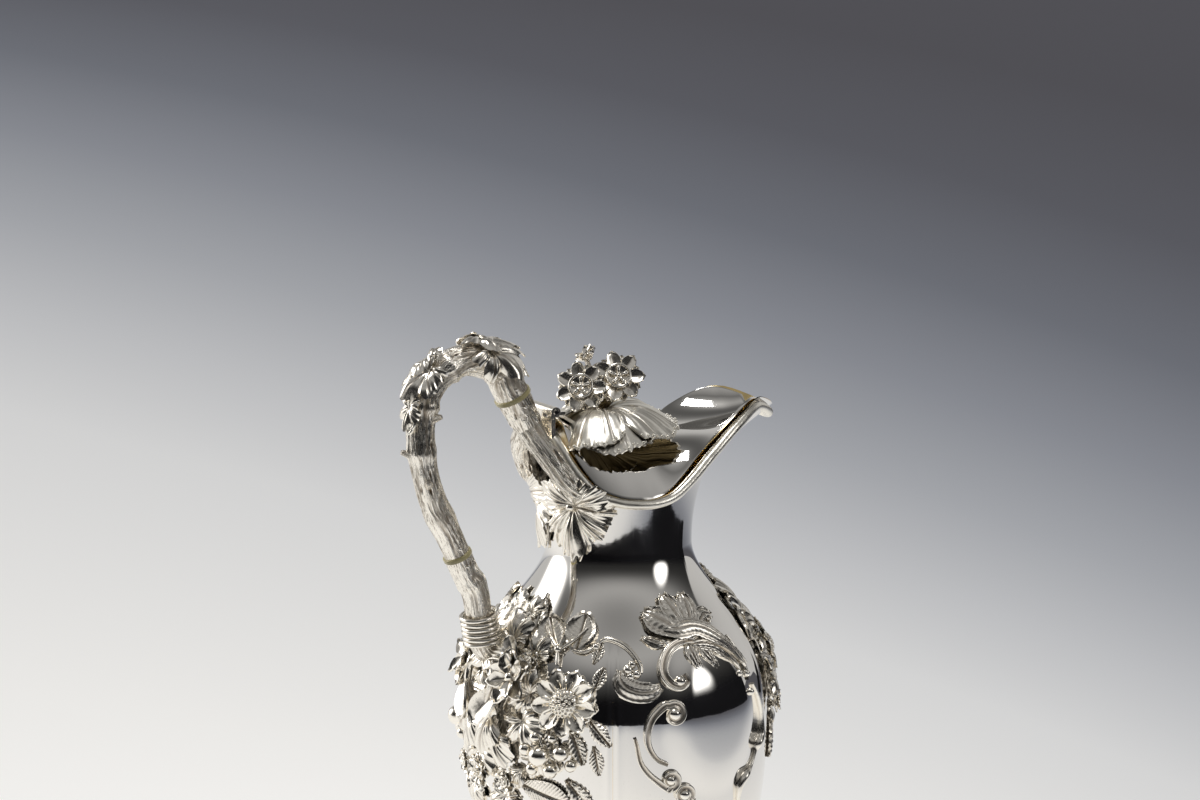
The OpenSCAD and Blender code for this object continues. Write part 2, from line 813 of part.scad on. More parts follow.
// Leaves and flowers below the spout, in the same form
spout_leaf_l = 18;
spout_leaf_places = [
    [0, 0.54, 180, 1], [18, 0.56, 170, 1], [34, 0.49, 190, 1], [14, 0.1, 30, 1],
    [32, 0.18, 330, 0.94], [6, -0.15, 10, 1], [26, -0.18, 30, 1], [12, -0.49, 0, 0.94]
];

module spout_spray() {
    color("#cfc8bb")
        for (side = [-1, 1]) {
            for (p = spout_leaf_places)
                if (p[0] > 0 || side > 0)
                    on_body(side*p[0], shoulder_z(p[1]), side*p[2], solder)
                        spray_leaf(spout_leaf_l*p[3], spout_leaf_l*p[3]*0.6, relief*0.5);
            body_blossom(side*22, shoulder_z(0.33), 0, spout_flower_d, 8, 0.4, relief*0.4);
        }
}

// Scrolls that frame the plain panel on each side, given as angle from its centre and height as
// a share of half the panel
panel_angle = 78;
panel_z = shoulder_z(0.1);
panel_half = 0.42*(neck_h-belly_h);
left_scroll = [[20, 0.98], [27, 0.73], [28, 0.43], [23, 0.24], [20, 0.37]];
lower_scroll = [[24, 0.18], [31, -0.18], [31, -0.67], [24, -0.92], [20, -0.76]];
right_scroll = [[-18, 0.92], [-25, 0.55], [-27, 0.06], [-25, -0.43], [-19, -0.73], [-16, -0.58]];
joint_scroll = [[44, 1.04], [38, 1.28], [31, 1.16], [29, 0.92]];

// The leaves above the panel: angle, height, turn, and height off the wall
crown_leaf_l = 22;
crown_leaf_w = 9;
crown_leaf_places = [[18, 1.11, -66, 0.3], [14, 1.19, -22, 0.55], [9.5, 1.14, 24, 0.42]];

module scroll(side, points, thick) {
    path = smooth([
        for (p = points)
            body_point(side*(panel_angle+p[0]), panel_z+panel_half*p[1], scroll_d*0.1)
    ], 2);
    n = len(path)-1;
    rods(path, [for (i = [0:n]) thick/2*(0.65+0.35*sin(180*i/n))]);
}

module scrolls(side) {
    color("#d9d8d4") {
        scroll(side, left_scroll, scroll_d);
        scroll(side, lower_scroll, scroll_d);
        scroll(side, right_scroll, scroll_d);
        scroll(side, joint_scroll, scroll_d*0.9);
        for (p = crown_leaf_places)
            on_body(side*(panel_angle+p[0]), panel_z+panel_half*p[1], 180+side*p[2], p[3])
                spray_leaf(crown_leaf_l, crown_leaf_w, relief*0.4);
    }
}

module near_scrolls() {
    scrolls(-1);
}

module far_scrolls() {
    scrolls(1);
}

// Where the five knuckles begin and end: the bracket has the first, third and fifth
knuckle_l = hinge_l/5;
function knuckle_y(k) = mix(-hinge_l/2, hinge_l/2, k/5);

module knuckle(k, gap) {
    translate([hinge_x, knuckle_y(k)+gap/2, hinge_h])
        rotate([-90, 0, 0]) cylinder(h = knuckle_l-gap, d = knuckle_d, $fn = fine);
}

module hinge_bore(d) {
    translate([hinge_x, 0, hinge_h])
        rotate([90, 0, 0]) cylinder(h = hinge_l+2, d = d, center = true, $fn = fine);
}

module hinge_bracket() {
    plate_t = 2;
    plate_top = hinge_h-knuckle_d/2-0.6;
    low = back_h-7;
    color("#c4c0b6")
        difference() {
            union() {
                for (k = [0, 2, 4]) {
                    knuckle(k, knuckle_gap);
                    translate([hinge_x-knuckle_d/2, knuckle_y(k)+knuckle_gap/2, back_h-3])
                        cube([plate_t, knuckle_l-knuckle_gap, hinge_h-back_h+3]);
                }
                translate([hinge_x-knuckle_d/2, -hinge_l/2, low])
                    cube([plate_t, hinge_l, plate_top-low]);
            }
            hinge_bore(hinge_pin_d);
        }
}

module hinge_pin() {
    head = 0.4;
    color("#d9d8d4")
        translate([hinge_x, 0, hinge_h])
            rotate([90, 0, 0])
                cylinder(h = hinge_l+2*head, d = hinge_pin_d, center = true, $fn = fine);
}

// The lid: its edge follows the mouth at the lid's gap, and its middle dips between hinge and tip
finial_x = -finial_back;
lid_low_x = 8;
lid_back_angle = 160;
lid_tip_angle = 7;
function lid_edge(angle) = neck_point(angle, 1, wall+lid_gap+lid_t);
lid_back_x = lid_edge(lid_back_angle)[0];
lid_tip_x = lid_edge(lid_tip_angle)[0];
lid_back_z = hinge_h-knuckle_d/2-1;
lid_tip_z = tip_h+1;
function lid_mid_z(x) =
    x < lid_low_x
    ? mix(lid_mid_h, lid_back_z, pow((lid_low_x-x)/(lid_low_x-lid_back_x), 2))
    : mix(lid_mid_h, lid_tip_z, pow((x-lid_low_x)/(lid_tip_x-lid_low_x), 2));
function lid_z(edge, q) = mix(lid_mid_z(edge[0]), edge[2], q*q);

module lid_plate() {
    rows = 26;
    half_cols = 5;
    function face(down) = [
        for (i = [0:rows])
            let (e = lid_edge(mix(lid_back_angle, lid_tip_angle, pow(i/rows, 0.9))))
            [for (j = [-half_cols:half_cols])
                let (q = j/half_cols) [e[0], e[1]*q, lid_z(e, q)-down]]
    ];
    color("#d9d8d4")
        difference() {
            slab(face(0), face(lid_t));
            translate([finial_x, 0, lid_mid_h])
                cylinder(h = through, d = stud_d, center = true, $fn = fine);
        }
}

module lid_strap() {
    rows = 6;
    strap_front = finial_x-10;
    taper = 0.4;
    bite = 0.25;
    arm_l = lid_back_x+1.5-hinge_x;
    function face(up) = [
        for (i = [0:rows])
            let (x = mix(lid_back_x+0.5, strap_front, i/rows))
            [for (q = [-1, 0, 1]) [x, strap_w/2*q*(1-taper*i/rows), lid_mid_z(x)+up]]
    ];
    color("#c4c0b6")
        difference() {
            union() {
                slab(face(strap_t), face(-bite));
                for (k = [1, 3]) {
                    knuckle(k, knuckle_gap);
                    translate([hinge_x, knuckle_y(k)+knuckle_gap/2, hinge_h-knuckle_d/2])
                        cube([arm_l, knuckle_l-knuckle_gap, strap_t]);
                }
            }
            hinge_bore(hinge_pin_d+2*pin_gap);
        }
}

// The finial stands on the middle of the lid: its stud goes from its foot through lid and nut
finial_z = lid_mid_z(finial_x);
stud_bite = 5;
stud_spare = 1;
nut_h = 3;
nut_seat = 1.35;

module finial_foot() {
    sunk = 0.2;
    color("#cfc8bb")
        difference() {
            translate([finial_x, 0, finial_z-sunk])
                rotate_extrude($fn = fine)
                    polygon([
                        [0, 0], [5, 0], [4.4, 2], [3, 4.5],
                        [3.4, finial_foot_h], [0, finial_foot_h]
                    ]);
            translate([finial_x, 0, finial_z+stud_bite-through])
                cylinder(h = through, d = stud_d, $fn = fine);
        }
}

module finial_stud() {
    below = lid_t+nut_seat+nut_h+stud_spare;
    color("#c4c0b6")
        translate([finial_x, 0, finial_z-below])
            cylinder(h = below+stud_bite, d = stud_d, $fn = fine);
}

module finial_nut() {
    color("#c4c0b6")
        translate([finial_x, 0, finial_z-lid_t-nut_seat-nut_h])
            difference() {
                cylinder(h = nut_h, d = nut_w, $fn = pointed);
                cylinder(h = through, d = stud_d, center = true, $fn = fine);
            }
}

// Where the finial's three flowers sit above the lid, and the way each one faces
finial_top = [finial_x, 0, finial_z+finial_foot_h];
front_flower_at = finial_top+[8, -1, 12.5];
rear_flower_at = finial_top+[-12, -2.5, 10];
bud_at = finial_top+[-1, 10, 20];
stem_foot = [finial_x, 0, finial_z+finial_foot_h-1.5];

module finial_stems() {
    stalk_r = 1.5;
    color("#cfc8bb")
        for (goal = [front_flower_at, rear_flower_at, bud_at])
            let (
                way = smooth([
                    stem_foot,
                    mix(stem_foot, goal, 0.4)+[0, 2.4, 0],
                    goal+[0, 1.2, -1.5]
                ], 3)
            )
            rods(way, [for (p = way) stalk_r]);
}

module front_flower() {
    color("#dedad2")
        translate(front_flower_at) rotate([62, 0, -24]) blossom(front_flower_d, 6, 0.4, 1.6);
}

module rear_flower() {
    color("#dedad2")
        translate(rear_flower_at) rotate([68, 0, -36]) blossom(rear_flower_d, 6, 0.4, 1.6);
}

module flower_bud() {
    color("#dedad2")
        translate(bud_at) rotate([-14, -30, 0]) blossom(11, 6, 0.5, 4);
}

// Five leaves round the finial's foot, drooping over the lid: direction, length and droop
lid_leaf_w = 19;
lid_leaf_places = [[-140, 25, 10], [-94, 26, 9.5], [-32, 33, 6.5], [66, 25, 10], [134, 26, 9.5]];

module lid_leaves() {
    root = [3, 0, finial_z+finial_foot_h-2.2];
    lean = 8;
    color("#cfc8bb")
        translate([finial_x, 0, 0])
            for (p = lid_leaf_places)
                rotate([0, 0, p[0]])
                    translate(root)
                        rotate([0, lean, 0]) leaf(p[1], lid_leaf_w, 3, p[2], 2.4);
}

body_shell();
neck_shell();
rim_wire();
stem();
foot_dome();
foot_ring();
handle_grip();
upper_ring();
lower_ring();
ring_pins();
upper_socket();
lower_socket();
tendril();
near_vine_leaf();
far_vine_leaf();
grip_leaves();
handle_spray();
handle_spray_flowers();
spout_spray();
near_scrolls();
far_scrolls();
hinge_bracket();
hinge_pin();
lid_plate();
lid_strap();
finial_foot();
finial_stud();
finial_nut();
finial_stems();
front_flower();
rear_flower();
flower_bud();
lid_leaves();
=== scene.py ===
"""Claret jug in silver: the dressed model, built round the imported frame."""
import json
import logging
from contextlib import contextmanager
from dataclasses import dataclass, field
from enum import Enum
from math import atan2, copysign, cos, degrees, exp, hypot, log, pi, radians, sin, sqrt
from typing import Callable, Iterator, Sequence

import bpy
from mathutils import Matrix, Vector, noise

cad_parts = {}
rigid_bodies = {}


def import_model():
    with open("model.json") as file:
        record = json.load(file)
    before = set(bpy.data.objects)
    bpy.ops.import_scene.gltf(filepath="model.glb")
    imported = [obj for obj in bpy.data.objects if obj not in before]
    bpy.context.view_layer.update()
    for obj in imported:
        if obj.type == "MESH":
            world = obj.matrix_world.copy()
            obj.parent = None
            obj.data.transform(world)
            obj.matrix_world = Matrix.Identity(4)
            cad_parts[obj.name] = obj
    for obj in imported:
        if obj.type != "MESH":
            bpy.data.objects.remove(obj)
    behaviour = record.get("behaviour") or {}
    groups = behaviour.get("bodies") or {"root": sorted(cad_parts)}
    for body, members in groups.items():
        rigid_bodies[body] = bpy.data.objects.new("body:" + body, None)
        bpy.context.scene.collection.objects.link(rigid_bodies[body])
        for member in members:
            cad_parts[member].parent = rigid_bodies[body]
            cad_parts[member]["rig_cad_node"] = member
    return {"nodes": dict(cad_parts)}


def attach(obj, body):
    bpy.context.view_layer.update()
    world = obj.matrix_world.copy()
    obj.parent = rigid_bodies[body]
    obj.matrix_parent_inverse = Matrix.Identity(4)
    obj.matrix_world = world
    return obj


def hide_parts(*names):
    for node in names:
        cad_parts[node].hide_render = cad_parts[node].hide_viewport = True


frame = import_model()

LOG = logging.getLogger("claret_jug")

# Pieces are shaped in millimetres and settled in metres.
MM = 0.001
FULL = 2*pi

Piece = bpy.types.Object
Socket = bpy.types.NodeSocket
Place = Callable[[float, float], Sequence[float]]
Warp = Callable[[Vector], Vector]
Measure = Callable[[float, float], float]
Spot = Callable[[float, float], Vector]


class Slot(Enum):
    """The record's material slots."""

    POLISHED = "polished_silver"
    CAST = "cast_silver"
    GILT = "gilt_silver"
    IVORY = "ivory"


class Body(Enum):
    """The two bodies that the hinge joins."""

    JUG = "jug"
    LID = "lid"


# ---- Numbers and lines ----


def mix(a: float, b: float, t: float) -> float:
    """The value a share t of the way from a to b."""
    return a+(b-a)*t


def smoothstep(low: float, high: float, x: float) -> float:
    """A soft step from 0 at low to 1 at high."""
    t = min(1.0, max(0.0, (x-low)/(high-low)))
    return t*t*(3-2*t)


def bump(x: float, width: float) -> float:
    """A soft hill of height 1 round zero."""
    return exp(-(x/width)**2)


def blend(a: float, b: float, c: float, d: float, t: float) -> float:
    """One value of a smooth curve between b and c, with a and d as its neighbours."""
    return 0.5*(2*b+(c-a)*t+(2*a-5*b+4*c-d)*t*t+(3*b-a-3*c+d)*t**3)


def polar(r: float, a: float, z: float) -> Vector:
    """The point at a radius, an angle in radians and a height."""
    return Vector((r*cos(a), r*sin(a), z))


def arc(
    middle: Sequence[float], size: Sequence[float], step: float, first: int, last: int
) -> list[tuple[float, float]]:
    """Points of a profile's arc.

    Args:
        middle: Radius and height of its middle.
        size: Half of its width and height.
        step: Degrees between its points.
        first: Steps from the level to its first point.
        last: Steps to its last point.

    Returns:
        The points, as radius and height.
    """
    turns = [radians(step*k) for k in range(first, last+1)]
    return [(middle[0]+size[0]*cos(a), middle[1]+size[1]*sin(a)) for a in turns]


def spin(turn: float, axis: str) -> Matrix:
    """A turn in degrees about X, Y or Z."""
    return Matrix.Rotation(radians(turn), 4, axis)


def smooth(points: Sequence[Sequence[float]], steps: int) -> list[Vector]:
    """A smooth line through points.

    Args:
        points: The points, of two or three numbers each.
        steps: The number of steps between neighbours.

    Returns:
        The line's points, the first and the last as given.
    """
    p = [Vector(q) for q in points]
    line = []
    for k in range(len(p)-1):
        a, b, c, d = p[max(k-1, 0)], p[k], p[k+1], p[min(k+2, len(p)-1)]
        for i in range(steps):
            line.append(Vector([blend(*q, i/steps) for q in zip(a, b, c, d)]))
    line.append(p[-1])
    return line


def lengths(points: Sequence[Vector]) -> list[float]:
    """The distance along the line at each of its points."""
    out = [0.0]
    for a, b in zip(points, points[1:]):
        out.append(out[-1]+(b-a).length)
    return out


def frames(points: Sequence[Vector], side: Sequence[float]) -> list[tuple[Vector, Vector]]:
    """Two directions square to the line at each point, which turn as little as they can.

    Args:
        points: The line.
        side: The first direction at the line's start, roughly.

    Returns:
        The pair of directions for each point.
    """
    out = []
    first = Vector(side)
    last = len(points)-1
    for i, _ in enumerate(points):
        way = (points[min(i+1, last)]-points[max(i-1, 0)]).normalized()
        first = (first-way*first.dot(way)).normalized()
        out.append((first.copy(), way.cross(first)))
    return out


# ---- Work on meshes ----


def only(*objects: Piece) -> None:
    """Selects these objects alone and makes the first one active."""
    bpy.ops.object.select_all(action="DESELECT")
    for o in objects:
        o.select_set(True)
    if objects:
        bpy.context.view_layer.objects.active = objects[0]


@contextmanager
def editing(obj: Piece) -> Iterator[None]:
    """Edit mode on one object, with all of its mesh selected."""
    only(obj)
    bpy.ops.object.mode_set(mode="EDIT")
    bpy.ops.mesh.select_all(action="SELECT")
    yield
    bpy.ops.object.mode_set(mode="OBJECT")


def close(obj: Piece, ends: bool = True) -> Piece:
    """Merges seams and poles, fills open ends, and turns the faces outwards."""
    with editing(obj):
        bpy.ops.mesh.remove_doubles(threshold=1e-3)
        if ends:
            bpy.ops.mesh.fill_holes(sides=0)
            bpy.ops.mesh.select_all(action="SELECT")
        bpy.ops.mesh.normals_make_consistent(inside=False)
    return obj


def finish_with(obj: Piece, kind: str, **settings: object) -> Piece:
    """Adds a modifier of that kind with these settings and applies it."""
    only(obj)
    modifier = obj.modifiers.new(kind.lower(), kind)
    for name, value in settings.items():
        setattr(modifier, name, value)
    bpy.ops.object.modifier_apply(modifier=modifier.name)
    return obj


def mark_hollows(obj: Piece, values: Sequence[float] = ()) -> None:
    """Stores how deep each point lies in a groove, which the finishes darken."""
    layer = obj.data.attributes.new("hollow", "FLOAT", "POINT")
    if values:
        layer.data.foreach_set("value", list(values))


def mark_grain(obj: Piece, places: Sequence[Vector]) -> None:
    """Stores where each point lies on its branch, which the bark's hair lines follow."""
    layer = obj.data.attributes.new("grain", "FLOAT_VECTOR", "POINT")
    layer.data.foreach_set("vector", [value for place in places for value in place])


def sheet(
    name: str, columns: int, rows: int, place: Place, hollow: Measure | None = None,
    grain: Spot | None = None,
) -> Piece:
    """A grid whose points are moved to their places.

    Args:
        name: The object's name.
        columns: Faces along u.
        rows: Faces along v.
        place: Gives the point for u and v, both from 0 to 1.
        hollow: Gives the depth in a groove for u and v, from 0 to 1.
        grain: Gives the place in the bark's pattern for u and v.

    Returns:
        The sheet.
    """
    only()
    bpy.ops.mesh.primitive_grid_add(x_subdivisions=columns, y_subdivisions=rows, size=2)
    obj = bpy.context.object
    obj.name = name
    depths, lines = [], []
    for vertex in obj.data.vertices:
        u, v = (vertex.co.x+1)/2, (vertex.co.y+1)/2
        vertex.co = place(u, v)
        depths.append(hollow(u, v) if hollow else 0.0)
        if grain:
            lines.append(grain(u, v))
    mark_hollows(obj, depths)
    if lines:
        mark_grain(obj, lines)
    return obj


def plate(obj: Piece, thick: float, outward: bool = False) -> Piece:
    """Gives a sheet its thickness below its face.

    Args:
        obj: The sheet.
        thick: Its thickness.
        outward: Whether its face looks away from the jug's axis and not up.

    Returns:
        The plate, whose lower faces are marked for a finish of their own.
    """
    close(obj, ends=False)
    aim = sum(
        f.area*(f.normal.dot(Vector((f.center.x, f.center.y, 0)).normalized()) if outward
                else f.normal.z)
        for f in obj.data.polygons
    )
    if aim < 0:
        with editing(obj):
            bpy.ops.mesh.flip_normals()
    count = len(obj.data.polygons)
    finish_with(obj, "SOLIDIFY", thickness=thick, offset=-1.0, use_even_offset=False)
    under = obj.data.attributes.new("under", "INT", "FACE")
    for k in range(count, 2*count):
        under.data[k].value = 1
    return obj


def rod(
    name: str, points: Sequence[Vector], radius: Measure, sides: int, side: Sequence[float],
    hollow: Measure | None = None, grain: Spot | None = None,
) -> Piece:
    """A closed rod along a line.

    Args:
        name: The object's name.
        points: The line, one ring of the rod for each point.
        radius: Gives the radius for the turn round the rod and the share of its length.
        sides: Faces round the rod.
        side: The direction in which the turn is 0 at the start.
        hollow: Gives the depth in a groove, as for a sheet.
        grain: Gives the place in the bark's pattern.

    Returns:
        The rod.
    """
    ring = frames(points, side)
    last = len(points)-1

    def place(u: float, v: float) -> Vector:
        """A point of the rod's skin."""
        i = round(v*last)
        a, b = ring[i]
        turn = FULL*u
        return points[i]+(a*cos(turn)+b*sin(turn))*radius(turn, v)

    return close(sheet(name, sides, last, place, hollow, grain))


def band(
    name: str, points: Sequence[Vector], faces: Sequence[Vector], wide: Callable[[float], float],
    high: float,
) -> Piece:
    """A strap along a line, with rounded edges and a channel down its face.

    Args:
        name: The object's name.
        points: The line of the strap's underside.
        faces: The direction that its face looks in at each point.
        wide: Gives its width for the share of its length.
        high: Its height.

    Returns:
        The strap.
    """
    last = len(points)-1
    channel = 0.4
    sides = []
    for i in range(last+1):
        way = (points[min(i+1, last)]-points[max(i-1, 0)]).normalized()
        sides.append(way.cross(faces[i]).normalized())

    def shape(u: float) -> tuple[float, float, float]:
        """Places across and up, and the depth in the channel, at a share of the way round."""
        a = FULL*u
        c, s = cos(a), sin(a)
        groove = bump(c, 0.42) if s > 0 else 0.0
        across = copysign(abs(c)**0.7, c)
        return across, (0.25+0.75*max(0.0, s)**0.6 if s > 0 else 0.25*s)-channel*groove, groove

    def place(u: float, v: float) -> Vector:
        """A point of the strap's skin."""
        i = round(v*last)
        across, up, _ = shape(u)
        w = wide(v)
        return points[i]+sides[i]*across*w/2+faces[i]*up*high*min(1.0, 0.35+w/3)

    return close(sheet(name, 20, last, place, lambda u, v: 0.8*shape(u)[2]))


def turned(name: str, profile: Sequence[Sequence[float]], steps: int) -> Piece:
    """A turned piece: its closed profile, of radius and height, drawn and spun."""
    only()
    bpy.ops.mesh.primitive_plane_add(size=1)
    obj = bpy.context.object
    obj.name = name
    with editing(obj):
        bpy.ops.mesh.merge(type="CENTER")
        bpy.ops.transform.translate(value=(profile[0][0], 0, profile[0][1]))
        for (r, z), (s, y) in zip(profile, [*profile[1:], profile[0]]):
            bpy.ops.mesh.extrude_region_move(TRANSFORM_OT_translate={"value": (s-r, 0, y-z)})
        bpy.ops.mesh.select_all(action="SELECT")
        bpy.ops.mesh.remove_doubles(threshold=1e-4)
        bpy.ops.mesh.spin(steps=steps, angle=FULL, center=(0, 0, 0), axis=(0, 0, 1))
        bpy.ops.mesh.select_all(action="SELECT")
        bpy.ops.mesh.remove_doubles(threshold=1e-3)
        bpy.ops.mesh.normals_make_consistent(inside=False)
    mark_hollows(obj)
    return obj


def ball(at: Sequence[float], radius: float, fine: int) -> Piece:
    """A cast bead, a little flattened and with a dimple on its crown."""
    only()
    bpy.ops.mesh.primitive_ico_sphere_add(subdivisions=fine, radius=radius)
    obj = bpy.context.object
    for vertex in obj.data.vertices:
        crown = max(0.0, vertex.co.z/radius)
        vertex.co *= 1-0.12*crown**14
        vertex.co += Vector(at)
    mark_hollows(obj)
    return obj


def move(piece: Piece, warp: Warp) -> Piece:
    """Moves each point of a piece by warp."""
    for vertex in piece.data.vertices:
        vertex.co = warp(vertex.co)
    return piece


def stamp(model: Piece, warp: Warp, side: int = 1) -> Piece:
    """A copy of a model with its own mesh.

    Args:
        model: The model.
        warp: Moves each of its points.
        side: Is -1 where the model's left and right are exchanged first.

    Returns:
        The copy.
    """
    copy = model.copy()
    copy.data = model.data.copy()
    bpy.context.scene.collection.objects.link(copy)
    move(copy, lambda p: warp(Vector((p.x, side*p.y, p.z))))
    if side < 0:
        with editing(copy):
            bpy.ops.mesh.flip_normals()
    return copy


def gather(name: str, parts: Sequence[Piece]) -> Piece:
    """Joins parts into one piece."""
    only(*parts)
    if len(parts) > 1:
        bpy.ops.object.join()
    parts[0].name = name
    parts[0].data.name = name
    return parts[0]


def scrap(*models: Piece) -> None:
    """Throws away models that were only copied from."""
    for model in models:
        bpy.data.objects.remove(model)


# ---- The jug's form ----


@dataclass(frozen=True)
class JugForm:
    """Sizes and surfaces of the jug, in millimetres: spout along +X, handle at -X."""

    belly_r: float = 68
    belly_h: float = 172
    bowl_h: float = 46
    neck_r: float = 33
    neck_h: float = 250
    wall: float = 0.9
    back_h: float = 307
    dip_h: float = 274
    crest_h: float = 310
    tip_h: float = 303
    spout_reach: float = 78
    back_reach: float = 38
    mouth_r: float = 33.5
    stem_r: float = 11
    bowl_full: float = 2.4
    shoulder_run: float = 1.4
    flare: float = 2.2
    spout_spread: tuple[float, ...] = (1, 0.69, 0.41, 0.18, 0.06, 0.01, 0)
    back_spread: tuple[float, ...] = (0.06, 0.2, 0.5, 0.8, 1, 1)
    spout_rise: tuple[float, ...] = (1, 0.81, 0.49, 0.23, 0.06, 0)
    back_rise: tuple[float, ...] = (0, 0.04, 0.15, 0.45, 0.83, 1)

    @property
    def seat_h(self) -> float:
        """Height at which the bowl is as wide as the stem."""
        span = self.belly_h-self.bowl_h
        return self.belly_h-span*(1-(self.stem_r/self.belly_r)**2)**(1/self.bowl_full)

    @property
    def hinge(self) -> Vector:
        """The middle of the hinge's axis."""
        return Vector((-self.back_reach, 0, self.back_h+6.5))

    def body_r(self, z: float) -> float:
        """Radius of the body's outside at the height z."""
        if z < self.belly_h:
            low = (self.belly_h-z)/(self.belly_h-self.bowl_h)
            return self.belly_r*sqrt(max(0.0, 1-low**self.bowl_full))
        t = min(1.0, (z-self.belly_h)/(self.neck_h-self.belly_h))
        return mix(self.neck_r, self.belly_r, (1+cos(pi*t**self.shoulder_run))/2)

    def body_lean(self, z: float) -> float:
        """Lean of the body's wall at the height z, positive where it faces up."""
        return atan2(self.body_r(z-1)-self.body_r(z+1), 2)

    def _around(self, table: Sequence[float], angle: float) -> float:
        """Value at an angle in degrees of a table given every 15 degrees from the spout."""
        a, top = abs(angle)/15, len(table)-1
        k = min(int(a), top-1)
        before = table[1] if k == 0 else table[k-1]
        after = table[top-1] if k+2 > top else table[k+2]
        return blend(before, table[k], table[k+1], after, a-k)

    def rim_r(self, angle: float) -> float:
        """Radius of the rim at an angle from the spout."""
        table = [mix(self.mouth_r, self.spout_reach, k) for k in self.spout_spread]
        table += [mix(self.mouth_r, self.back_reach, k) for k in self.back_spread]
        return self._around(table, angle)

    def rim_z(self, angle: float) -> float:
        """Height of the rim at an angle from the spout."""
        table = [self.tip_h]
        table += [mix(self.dip_h, self.crest_h, k) for k in self.spout_rise]
        table += [mix(self.dip_h, self.back_h, k) for k in self.back_rise]
        return self._around(table, angle)

    def neck_lean(self, angle: float, s: float) -> Vector:
        """Direction up the neck's wall as radius and height, at the share s of the way up."""
        run = self.flare*(self.rim_r(angle)-self.neck_r)*max(s, 1e-6)**(self.flare-1)
        return Vector((run, self.rim_z(angle)-self.neck_h)).normalized()

    def neck_point(self, angle: float, s: float, depth: float) -> Vector:
        """A point of the neck at an angle and share, that deep under the outside."""
        way = self.neck_lean(angle, s)
        r = mix(self.neck_r, self.rim_r(angle), s**self.flare)-depth*way[1]
        z = mix(self.neck_h, self.rim_z(angle), s)+depth*way[0]
        return polar(r, radians(angle), z)

    def neck_out_r(self, angle: float, z: float) -> float:
        """Radius of the neck's outside at an angle and height."""
        s = min(1.0, max(0.0, (z-self.neck_h)/(self.rim_z(angle)-self.neck_h)))
        return mix(self.neck_r, self.rim_r(angle), s**self.flare)

    def on_body(self, angle: float, z: float, out: float) -> Vector:
        """A point that stands out from the body's wall, square to it."""
        a, lean = radians(angle), self.body_lean(z)
        return polar(self.body_r(z)+out*cos(lean), a, z+out*sin(lean))

    def body_warp(
        self, angle: float, z: float, turn: float, out: float, size: float, tilt: float
    ) -> Warp:
        """Lays a flat model on the body: its +Z faces out and its +X grows down the wall.

        Args:
            angle: Angle of the model's root from the spout, in degrees.
            z: Height of its root.
            turn: Turn from the way down towards larger angles, in degrees.
            out: Distance of its root from the wall.
            size: Scale of the model.
            tilt: Rise away from the wall per unit of distance from the root.

        Returns:
            The warp.
        """
        t = radians(turn)

        def warp(p: Vector) -> Vector:
            """The place on the body of a point of the model."""
            x, y, h = p*size
            down = x*cos(t)-y*sin(t)
            across = x*sin(t)+y*cos(t)
            height = z-down*cos(self.body_lean(z-down/2))
            height = min(self.neck_h-0.5, height)
            turned_by = degrees(across/max(20.0, self.body_r(height)))
            rise = tilt*hypot(x, y)
            return self.on_body(angle+turned_by, height, h+out+rise)

        return warp

    def neck_warp(self, angle: float, z: float, turn: float, out: float) -> Warp:
        """Lays a flat model on the neck, as body_warp does on the body."""
        t = radians(turn)

        def warp(p: Vector) -> Vector:
            """The place on the neck of a point of the model."""
            x, y, h = p
            height = z-(x*cos(t)-y*sin(t))
            across = x*sin(t)+y*cos(t)
            low = max(self.neck_h, height)
            a = angle+degrees(across/self.neck_out_r(angle, low))
            return polar(self.neck_out_r(a, low)+h+out, radians(a), height)

        return warp


JUG = JugForm()


# ---- Finishes ----


